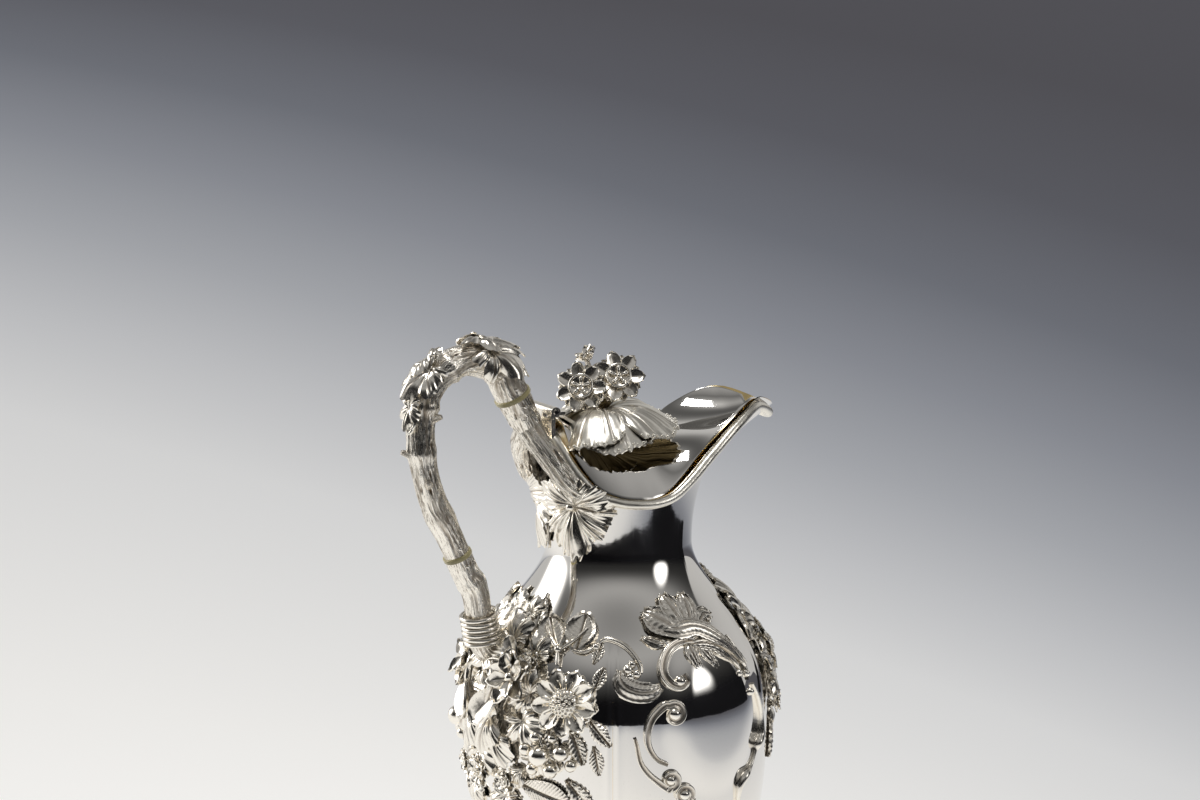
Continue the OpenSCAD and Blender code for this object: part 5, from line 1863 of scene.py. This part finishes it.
@dataclass
class PanelFrame:
    """Scrolls and an acanthus leaf that frame the plain panel on one side."""

    side: int
    name: str
    node: str

    def line(self, points: Sequence[tuple[float, float]], out: float) -> list[Vector]:
        """A smooth line on the body through points of angle and height."""
        return [JUG.on_body(self.side*p[0], p[1], out) for p in smooth(points, 7)]

    def volute(
        self, centre: tuple[float, float], start: float, r: float, turns: float
    ) -> list[tuple[float, float]]:
        """Points of a spiral, as angle and height, from its outside to near its centre.

        Args:
            centre: Angle and height of the middle.
            start: Direction of the first point from the middle, in degrees.
            r: Distance of the first point.
            turns: Number of turns, negative to wind the other way.

        Returns:
            The points.
        """
        count = max(6, int(abs(turns)*12))
        wide = degrees(1/JUG.body_r(centre[1]))
        out = []
        for k in range(count+1):
            a = radians(start+360*turns*k/count)
            d = r*(1-0.66*k/count)
            out.append((centre[0]+d*cos(a)*wide, centre[1]+d*sin(a)))
        return out

    def scroll(
        self, points: Sequence[tuple[float, float]], wide: float, out: float, tail: float, head: float,
        high: float,
    ) -> Piece:
        """A channelled scroll, thin at its tail, fullest in its run, narrower in its volute."""
        line = self.line(points, out)
        faces = [(b-a).normalized() for a, b in zip(line, self.line(points, out+1))]

        def width(v: float) -> float:
            """Width at the share v of the length."""
            body = mix(tail, 1, sin(pi/2*min(1, v*2.6)))
            return 1.22*wide*mix(body, head, smoothstep(0.55, 1.0, v))

        return band("scroll", line, faces, width, high)

    def drop(self, points: Sequence[tuple[float, float, float]]) -> Piece:
        """A rod that swells into bulbs; each point gives its angle, height and radius."""
        rows = smooth(points, 8)
        line = [JUG.on_body(self.side*a, z, 0.3+0.4*r) for a, z, r in rows]

        def radius(turn: float, v: float) -> float:
            """Radius with a flat on each side."""
            return rows[round(v*(len(rows)-1))][2]*(1-0.1*cos(2*turn))

        return rod("drop", line, radius, 16, (0.2, 0.2, 1))

    def scrolls(self) -> list[Piece]:
        """All the bands and beads of the frame."""
        v = self.volute
        parts = [
            self.scroll([(-85.0, 213.4), (-89.5, 213.9), (-93.9, 213.2), (-98.3, 211.0),
                         (-101.4, 206.9), (-102.2, 202.4), (-99.8, 198.2), (-96.2, 196.6),
                         (-93.0, 198.4), (-94, 201.4)], 3.9, 0.3, 0.5, 0.6, 2.8),
            self.scroll([(-102.2, 163.4), (-105.6, 165.6), (-108.3, 169.6), (-109.7, 174.4),
                         (-109.5, 180.0), (-107.6, 185.2), (-103.4, 189.4),
                         *v((-99.4, 185.6), 120, 4.6, -1.1)], 3.4, 0.2, 0.4, 0.6, 2.4),
            self.scroll([(-114.4, 176), (-113.7, 172.6), (-112.3, 165.2), (-109.3, 159.6),
                         (-105.2, 155.1), (-101.6, 152.0), *v((-100.9, 156.0), 265, 3.9, 1.1)],
                        3.0, 0.2, 0.4, 0.6, 2.2),
            self.scroll([(-103.6, 146), (-100, 143.4), (-95.6, 143.2), (-91.6, 146.4),
                         *v((-95.4, 148.6), -40, 4.2, 1.1)], 2.8, 0.2, 0.4, 0.6, 2.0),
            self.drop([(-130.4, 214.4, 0.7), (-125.8, 216.6, 1.0), (-118.4, 214.6, 1.2),
                       (-113.9, 210.8, 1.2), (-111.5, 206.6, 1.1), (-111.4, 203.4, 1.0)]),
            self.drop([(-57.4, 190.6, 0.9), (-53.8, 182.4, 1.1), (-51.6, 174, 1.2),
                       (-52.2, 166.2, 1.8), (-55.0, 162.6, 2.0), (-56.6, 159, 0.8),
                       (-60.2, 153.4, 0.9), (-64.6, 150.6, 2.0), (-67.6, 146.4, 1.6),
                       (-68.2, 138.6, 0.9)]),
            self.drop([(-62.4, 212.6, 0.7), (-60.4, 206, 0.9), (-59.9, 199.6, 1.2),
                       (-60.4, 193, 0.9)]),
        ]
        beads = ((-60.7, 195.9, 1.7), (-65.3, 197.1, 1.6), (-60.7, 187.9, 1.8),
                 (-95.9, 199.0, 2.6), (-99.4, 185.8, 3.0), (-100.9, 156.2, 2.4),
                 (-95.4, 148.8, 2.6), (-116.6, 204.8, 2.3), (-113.2, 203.0, 2.0),
                 (-114.8, 206.8, 1.8), (-115.6, 202.2, 1.8), (-130.2, 214.0, 1.2))
        return parts+[ball(JUG.on_body(self.side*a, z, 1.1), r, 3) for a, z, r in beads]

    def foliage(self) -> list[Piece]:
        """The acanthus leaf over the panel, its sweeping stalk and the shell."""
        plumes = (
            Plume(((-88, 215.6, 2.4, 2.6), (-92, 218.4, 5.4, 5.0), (-96.6, 221.2, 7.4, 7.0),
                   (-101.4, 223.6, 7.2, 6.8), (-105, 225.4, 4.2, 4.0), (-107, 226.4, 1.2)),
                  1.3, 0.1, 10, 2.8, 2.0, 0.9),
            Plume(((-86, 217, 2.4), (-88.4, 221.6, 4.2), (-90.8, 226.4, 5.0),
                   (-92.6, 230.4, 3.4), (-93.4, 232.2, 1.0)), 1.2, 0.08, 6, 2.4, 1.8, 1.2),
            Plume(((-83, 217.6, 2.6), (-82, 222.2, 4.2), (-81, 226.4, 5.0),
                   (-80.4, 230, 3.2), (-80.2, 231.6, 1.0)), 1.2, 0.08, 6, 2.4, 1.8, 1.2),
            Plume(((-79, 217.6, 2.6), (-75.4, 220.6, 4.4, 4.0), (-71.8, 222, 4.6, 4.2),
                   (-68, 221.4, 2.6, 2.4), (-66.4, 220.8, 0.8)), 1.2, 0.08, 6, 2.2, 1.6, 1.0),
            Plume(((-99, 219, 2.6), (-92, 218.4, 5.0, 4.2), (-83.6, 218.6, 6.0, 4.8),
                   (-76, 216, 5.2, 4.4), (-69.8, 211.4, 3.8, 3.4), (-64.6, 205.8, 2.6, 2.4),
                   (-60.4, 199.4, 1.0)), 2.6, 0.16, 18, 3.0, 1.3, 1.5),
            Plume(((-86, 212.4, 2.2, 2.4), (-79.4, 212, 3.6, 4.2), (-72.6, 209.2, 4.2, 5.0),
                   (-67, 204.8, 3.2, 4.4), (-63.6, 199.8, 1.2, 2.0)), 2.4, 0.2, 11, 2.2, 1.4, 0.5),
            Plume(((-87.5, 212.8, 1.8), (-87.4, 209.4, 3.4), (-86.6, 205.4, 3.0),
                   (-85, 202.4, 0.9)), 1.6, 0.2, 6, 1.8, 1.0, 0.5),
            Plume(((-82.4, 211.8, 1.8), (-80.2, 208.2, 3.2), (-78.2, 204.4, 2.6),
                   (-76.6, 201.8, 0.9)), 1.6, 0.2, 6, 1.8, 1.0, 0.5),
            Plume(((-98.6, 213.8, 1.2), (-102.6, 214.4, 2.6), (-106.4, 215.8, 2.2),
                   (-109.6, 217, 0.6)), 1.2, 0.08, 4, 1.6, 0.5, 0.5),
            Plume(((-119.4, 204.4, 1.6), (-119.6, 200.8, 3.6), (-117.2, 197.6, 4.8),
                   (-112.8, 195.8, 5.2, 5.0), (-107.8, 195.8, 4.2, 4.0), (-104, 197.4, 1.2)),
                  1.6, 0.08, 12, 2.6, 1.2, 0.8),
        )
        return [plume.model(self.side) for plume in plumes]

    def build(self, kit: Finishes) -> None:
        """Builds and settles the frame."""
        parts = self.scrolls()+self.foliage()
        kit.settle(gather(self.name, parts), kit.cast, self.node)


@dataclass
class Lid:
    """The hinged lid: its plate, strap and finial of flowers and leaves."""

    thick: float = 1.3
    gap: float = 1.0
    middle_h: float = 297
    finial_x: float = -9
    foot_h: float = 13
    back_angle: float = 160
    tip_angle: float = 7
    low_x: float = 8
    front: tuple[float, float, float] = (8, -1, 12.5)
    rear: tuple[float, float, float] = (-12, -2.5, 10)
    bud: tuple[float, float, float] = (-1, 10, 20)

    def edge(self, angle: float) -> Vector:
        """A point of the lid's near edge."""
        return JUG.neck_point(angle, 1, JUG.wall+self.gap+self.thick)

    def middle_z(self, x: float) -> float:
        """Height of the lid's middle line."""
        back, tip = self.edge(self.back_angle).x, self.edge(self.tip_angle).x
        if x < self.low_x:
            top = JUG.hinge.z-2.3-1
            return mix(self.middle_h, top, ((self.low_x-x)/(self.low_x-back))**2)
        return mix(self.middle_h, JUG.tip_h+1, ((x-self.low_x)/(tip-self.low_x))**2)

    @property
    def finial(self) -> Vector:
        """The point of the lid that the finial stands on."""
        return Vector((self.finial_x, 0, self.middle_z(self.finial_x)))

    def plate(self) -> Piece:
        """The saddle-shaped plate, with a softened edge."""

        def place(u: float, v: float) -> tuple[float, float, float]:
            """A point of the lid's upper face."""
            e = self.edge(mix(self.back_angle, self.tip_angle, v**0.9))
            q = 2*u-1
            return e.x, e.y*q, mix(self.middle_z(e.x), e.z, q*q)

        obj = plate(sheet("saddle_lid", 72, 130, place), self.thick)
        return finish_with(obj, "BEVEL", width=0.3, segments=2, limit_method="ANGLE",
                           angle_limit=radians(50))

    def stems(self) -> Piece:
        """The three flower stems, which rise from the finial's foot."""
        root = self.finial+Vector((0, 0, self.foot_h-1.5))
        parts = []
        bends = ((3.0, 0.6), (2.4, -1.6), (3.4, 1.0))
        for k, (place, bend) in enumerate(zip((self.front, self.rear, self.bud), bends)):
            goal = self.top+Vector(place)
            points = smooth([root, root.lerp(goal, 0.45)+Vector((bend[1], bend[0], 0)),
                             goal+Vector((0, 1.6, -1.0))], 12)
            parts.append(branch("stem", points, lambda v: mix(1.7, 1.25, v), 0.3, 40+k, 28,
                                (0.3, 0.9, 0.2)))
        return gather("flower_stems", parts)

    @property
    def top(self) -> Vector:
        """The top of the finial's foot."""
        return self.finial+Vector((0, 0, self.foot_h))

    def flower(self, name: str, bloom: Blossom, place: Sequence[float], turns: Sequence[float]) -> Piece:
        """A flower at a place over the foot, turned about X, Y and Z to face out from its stem."""
        at = self.top+Vector(place)
        turn = spin(turns[2], "Z") @ spin(turns[1], "Y") @ spin(turns[0], "X")
        return move(bloom.model(name), lambda p: at+turn @ p)

    def leaves(self) -> Piece:
        """The five broad leaves that droop over the lid, with frilled edges."""
        root = self.finial+Vector((0, 0, self.foot_h-2.2))
        places = ((-145, 27.5, 15), (-98, 28, 15.5), (-34, 33, 10.5), (66, 25, 10), (134, 26, 9.5))
        parts = []
        for turn, length, droop in places:
            leaf = LobedLeaf(
                length=length, lobes=((0, 1, 50), (-36, 0.92, 36), (36, 0.92, 36)), spread=60,
                droop=droop-1.0, ruffle=0.8, rib=0.07, ribs=52, swell=1.9, bay=0.88, bead=0.012,
                rise=0.26, lip=0.8, thick=1.0, columns=150, rows=26,
            )
            model = leaf.model("lid_leaf")
            place = Matrix.Translation(root) @ spin(turn, "Z")
            place = place @ spin(8, "X") @ Matrix.Translation((1.5, 0, 0))
            parts.append(stamp(model, lambda p, m=place: m @ p))
            scrap(model)
            for k in range(21):
                off = -50+5*k+1.5*sin(k*3.1)
                at = place @ (leaf.point(off, 0.975)+Vector((0, 0, 0.15)))
                parts.append(ball(at, 0.62+0.2*sin(k*2.3+turn), 2))
        return gather("lid_vine_leaves", parts)

    def curls(self) -> list[Piece]:
        """Small curled leaves round the foot of the stems."""
        model = BladeLeaf(length=9, width=5, fold=1.0, droop=-2.2, curl=-0.4, tooth=0.06, veins=6,
                          rib=0.2, thick=0.7).model("curl")
        parts = []
        for turn, lift in ((-20, 0), (-100, -1), (150, 0.5), (70, 0)):
            root = Matrix.Translation(self.top+Vector((0, 0, lift-1)))
            place = root @ spin(turn, "Z") @ spin(-28, "Y")
            parts.append(stamp(model, lambda p, m=place: m @ p))
        scrap(model)
        return parts

    def foot(self) -> Piece:
        """The finial's cast foot, closed over its stud."""
        z, h = self.finial.z-0.2, self.foot_h
        profile = [(0, z), (4.7, z), (5, z+0.3), (4.9, z+1.2), (4.2, z+2.4), (3.4, z+4.6),
                   (3.1, z+h*0.5), (3.4, z+h*0.72), (3.2, z+h*0.88), (2.2, z+h), (0, z+h)]
        return move(turned("finial_socket", profile, 48), lambda p: p+Vector((self.finial_x, 0, 0)))

    def build(self, kit: Finishes) -> None:
        """Builds and settles the lid's pieces."""
        kit.settle(self.plate(), kit.polished, "lid_plate", body=Body.LID, crease=50, under=kit.gilt)
        kit.settle(self.foot(), kit.cast, "finial_foot", body=Body.LID, crease=45)
        kit.settle(self.stems(), kit.bark, "finial_stems", body=Body.LID, crease=70)
        full = {"centre": Centre.STAR, "width": 0.7, "cup": 0.9, "point": 0.12}
        flowers = (
            ("front_flower_cast", "front_flower", self.front, (62, 0, -24),
             Blossom(23.6, ((7, 1, 0.9, 0.2), (7, 0.86, -0.6, -0.9)), heart=5.4, **full)),
            ("rear_flower_cast", "rear_flower", self.rear, (68, 0, -36),
             Blossom(22.8, ((7, 1, 0.8, 0.2), (7, 0.86, -0.6, -0.9)), heart=5.2, **full)),
            ("half_open_flower", "flower_bud", self.bud, (-14, -30, 0),
             Blossom(9.8, ((5, 1, 2.8, 0.2), (4, 0.78, 4.0, 0.6)), Centre.BEAD, 1.6, 1.1, 1.8, 0.3)),
        )
        for name, node, place, turns, bloom in flowers:
            kit.settle(self.flower(name, bloom, place, turns), kit.cast, node, body=Body.LID)
        leaves = gather("lid_vine_leaves", [self.leaves(), *self.curls()])
        # The lower faces of these leaves take the darkened gilding, which is painted shade.
        kit.settle(leaves, kit.satin, "lid_leaves", body=Body.LID, under=kit.under)
        for node in ("lid_strap", "finial_stud", "finial_nut"):
            kit.dress(frame["nodes"][node], kit.cast)


@dataclass
class Hinge:
    """The fixed half of the hinge and its pin."""

    def build(self, kit: Finishes) -> None:
        """Dresses the hinge's solids, whose shapes are right as they are."""
        kit.dress(frame["nodes"]["hinge_bracket"], kit.cast)
        kit.dress(frame["nodes"]["hinge_pin"], kit.polished)


# ---- The studio ----


@dataclass
class Studio:
    """The camera, the pale floor whose painted light fades with distance, the room's windows and the
    lamp.
    """

    eye: tuple[float, float, float] = (-0.74485, -1.27301, 0.58735)
    ahead: tuple[float, float, float] = (0.49163, 0.85152, -0.18224)
    right: tuple[float, float, float] = (0.86603, -0.5, 0.0)
    middle: tuple[float, float, float] = (0, 0, 0.22)
    lamp_w: float = 0.5
    lamp_glow: float = 11.0
    cloth_span: tuple[float, float] = (62.5, 257)
    cloth_r: float = 0.52
    cloth_top: float = 0.4
    windows: tuple[tuple[float, ...], ...] = (
        (-71, 21, 24, 27, 4.2), (112, 22, 14, 21, 2.8), (-101, 28, 3, 26, 0.5),
    )

    def camera(self) -> None:
        """Sets the camera at the photograph's angle."""
        data = bpy.data.cameras.new("camera")
        data.lens, data.sensor_width = 100, 36
        data.clip_start, data.clip_end = 0.05, 60
        cam = bpy.data.objects.new("camera", data)
        bpy.context.scene.collection.objects.link(cam)
        cam.location = self.eye
        cam.rotation_mode = "QUATERNION"
        cam.rotation_quaternion = Vector(self.ahead).to_track_quat("-Z", "Y")
        bpy.context.scene.camera = cam

    def floor(self) -> None:
        """A wide floor with painted light: its grey falls from pale near the jug to dark grey far away.
        """
        only()
        bpy.ops.mesh.primitive_circle_add(vertices=128, radius=14, fill_type="NGON")
        floor = bpy.context.object
        floor.name = "floor"
        made, s, shader = new_material("floor_painted_falloff")
        where = s.place()
        near, folds, eye_run = 0.2, 4.0, 1.475
        far = s.node("VectorMath", {0: where}, operation="LENGTH").outputs["Value"]
        slant = s.math("DIVIDE", s.dot(where, self.right), s.math("ADD", far, eye_run))
        reach = s.math("MULTIPLY", far, s.math("EXPONENT", s.math("MULTIPLY_ADD", slant, 3.3, -0.06)))
        share = s.math("DIVIDE", s.math("LOGARITHM", s.math("DIVIDE", reach, near), exp(1)), folds)
        # Painted light: these greys are brightest near the jug and darker with distance, sooner towards
        # the camera's right. They feed both the floor's base colour and the glow that the camera and
        # reflections see.
        stops = (
            (0.2, (0.90, 0.89, 0.87)), (0.4, (0.80, 0.79, 0.77)), (0.9, (0.64, 0.64, 0.64)),
            (1.24, (0.50, 0.505, 0.52)), (1.69, (0.355, 0.365, 0.39)),
            (2.33, (0.235, 0.245, 0.275)), (3.26, (0.14, 0.148, 0.172)),
            (4.8, (0.090, 0.092, 0.108)), (7.7, (0.070, 0.069, 0.080)),
        )
        colour = s.grade(share, [(log(metres/near)/folds, tone) for metres, tone in stops])
        falloff_base = s.node("VectorMath", {0: colour, 1: (0.4, 0.4, 0.4)}, operation="MULTIPLY")
        path = s.node("LightPath")
        seen = s.math("MAXIMUM", path.outputs["Is Camera Ray"], path.outputs["Is Glossy Ray"])
        seen = s.math("MAXIMUM", seen, path.outputs["Is Transmission Ray"])
        s.fill(shader, {
            "Base Color": falloff_base.outputs[0], "Roughness": 0.9, "Specular IOR Level": 0.1,
            "Emission Color": colour, "Emission Strength": s.math("MULTIPLY", seen, 0.79),
        })
        floor.data.materials.append(made)

    def world(self) -> None:
        """A dim room, paler overhead, with soft windows of light on its walls."""
        world = bpy.data.worlds.new("room")
        bpy.context.scene.world = world
        world.use_nodes = True
        s = Shader(world.node_tree)
        where = s.node("TexCoord").outputs["Generated"]
        height = s.math("ARCSINE", s.node("SeparateXYZ", {"Vector": where}).outputs["Z"])
        height = s.math("MULTIPLY", height, 180/pi)
        flat = Vector((self.ahead[0], self.ahead[1], 0)).normalized()
        turn = s.math("ARCTAN2", s.dot(where, self.right), s.dot(where, flat))
        turn = s.math("MULTIPLY", turn, 180/pi)
        dark = self.tone(s, height, (
            (0, 0.02), (0.22, 0.02), (0.36, 0.06), (0.48, 0.26), (0.6, 0.4), (0.74, 0.16), (0.8, 0.12),
            (0.95, 0.5),
        ))
        pale = self.tone(s, height, (
            (0, 0.5), (0.28, 0.5), (0.42, 0.17), (0.6, 0.07), (0.8, 0.11), (0.93, 0.45),
        ))
        turned = s.math("WRAP", turn, 360.0, 0.0)
        first = s.node("MapRange", {"Value": turned, "From Min": 61.5, "From Max": 63.5})
        second = s.node("MapRange", {"Value": turned, "From Min": 259.0, "From Max": 256.0})
        behind = s.math("MULTIPLY", first.outputs["Result"], second.outputs["Result"])
        light = s.math("ADD", s.math("MULTIPLY", dark, behind),
                       s.math("MULTIPLY", pale, s.math("SUBTRACT", 1.0, behind)))
        for window in self.windows:
            light = s.math("ADD", light, self.glow(s, turn, height, window))
        colour = s.node("CombineColor", {"Red": light, "Green": s.math("MULTIPLY", light, 0.99),
                                         "Blue": s.math("MULTIPLY", light, 0.975)})
        s.fill(world.node_tree.nodes["Background"], {"Color": colour.outputs["Color"], "Strength": 1.0})

    def tone(self, s: Shader, height: Socket, stops: Sequence[tuple[float, float]]) -> Socket:
        """Grey by the angle over the horizon, from shares of the way up and their greys."""
        greys = [(place, (grey, grey, grey)) for place, grey in stops]
        colour = s.grade(s.math("DIVIDE", height, 90), greys, "B_SPLINE")
        return s.node("RGBToBW", {"Color": colour}).outputs["Val"]

    def glow(self, s: Shader, turn: Socket, height: Socket, window: Sequence[float]) -> Socket:
        """The light of one soft-edged window.

        Args:
            s: The world's shader tree.
            turn: Azimuth of the looked-at direction, in degrees.
            height: Its angle over the horizon.
            window: Azimuth and height of its middle, half of its width and of its height in
                degrees, and its brightness, where 1 is white.

        Returns:
            The light's strength in that direction.
        """
        azimuth, rise, half, tall, bright = window
        away = s.math("ABSOLUTE", s.math("SUBTRACT", turn, azimuth))
        away = s.math("MINIMUM", away, s.math("SUBTRACT", 360.0, away))
        across = s.math("POWER", s.math("DIVIDE", away, half), 2.0)
        over = s.math("ABSOLUTE", s.math("DIVIDE", s.math("SUBTRACT", height, rise), tall))
        reach = s.math("ADD", across, s.math("POWER", over, 2.0))
        edge = s.node("MapRange", {"Value": reach, "From Min": 1.5, "From Max": -0.15},
                      interpolation_type="SMOOTHERSTEP")
        soft = s.math("POWER", edge.outputs["Result"], 1.7)
        return s.math("MULTIPLY", soft, bright)

    def toward(self, azimuth: float, height: float, distance: float) -> Vector:
        """A point seen from the jug: azimuth 0 is behind it, 90 is the camera's right."""
        ahead = Vector((self.ahead[0], self.ahead[1], 0)).normalized()
        a, e = radians(azimuth), radians(height)
        flat = ahead*cos(a)+Vector(self.right)*sin(a)
        return (flat*cos(e)+Vector((0, 0, sin(e))))*distance+Vector(self.middle)

    def lamp(self) -> None:
        """A soft square lamp nearly overhead, which faces the jug."""
        data = bpy.data.lights.new("soft_key", "AREA")
        data.shape = "RECTANGLE"
        data.size = data.size_y = self.lamp_w
        data.energy = self.lamp_glow*pi*self.lamp_w*self.lamp_w
        lamp = bpy.data.objects.new("soft_key", data)
        bpy.context.scene.collection.objects.link(lamp)
        lamp.location = self.toward(-82, 82, 1.8)
        aim = Vector(self.middle)-lamp.location
        lamp.rotation_mode = "QUATERNION"
        lamp.rotation_quaternion = aim.to_track_quat("-Z", "Y")
        lamp.visible_camera = False

    def screen(self) -> None:
        """A black cloth round the camera's side, with a torn lower edge, for reflections."""
        def tear(angle: float) -> float:
            """Height of the cloth's torn edge."""
            teeth = 0.003*abs(((angle*0.37) % 1)-0.5)+0.002*noise.noise(Vector((angle, 0, 0)))
            return 0.116+teeth+0.012*bump(angle-131, 18)+0.004*noise.noise(Vector((angle*0.1, 0, 0)))

        def place(u: float, v: float) -> Vector:
            """A point of the cloth."""
            angle = mix(*self.cloth_span, u)
            at = self.toward(angle, 0, self.cloth_r)
            return Vector((at.x, at.y, mix(tear(angle), self.cloth_top, v)))

        cloth = sheet("black_cloth", 420, 14, place, lambda u, v: smoothstep(1.0, 0.5, v))
        made, s, shader = new_material("black_cloth")
        drape = s.node("Attribute", attribute_name="hollow").outputs["Fac"]
        s.fill(shader, {"Base Color": (0.012, 0.012, 0.014, 1), "Roughness": 1.0,
                        "Specular IOR Level": 0.0, "Alpha": drape})
        cloth.data.materials.append(made)
        cloth.visible_camera = False
        cloth.visible_diffuse = False
        cloth.visible_shadow = False

    def build(self) -> None:
        """Builds the studio."""
        self.camera()
        self.floor()
        self.world()
        self.lamp()
        self.screen()
        bpy.context.scene.view_settings.view_transform = "Standard"


def main() -> None:
    """Builds the jug round the frame, then the studio."""
    logging.basicConfig(level=logging.INFO, format="%(name)s: %(message)s")
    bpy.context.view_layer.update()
    kit = Finishes()
    for assembly in (
        Foot(), Vessel(), Handle(), Sprays(),
        PanelFrame(1, "near_panel_frame", "near_scrolls"),
        PanelFrame(-1, "far_panel_frame", "far_scrolls"),
        Lid(), Hinge(),
    ):
        assembly.build(kit)
    Studio().build()


if __name__ == "__main__":
    main()
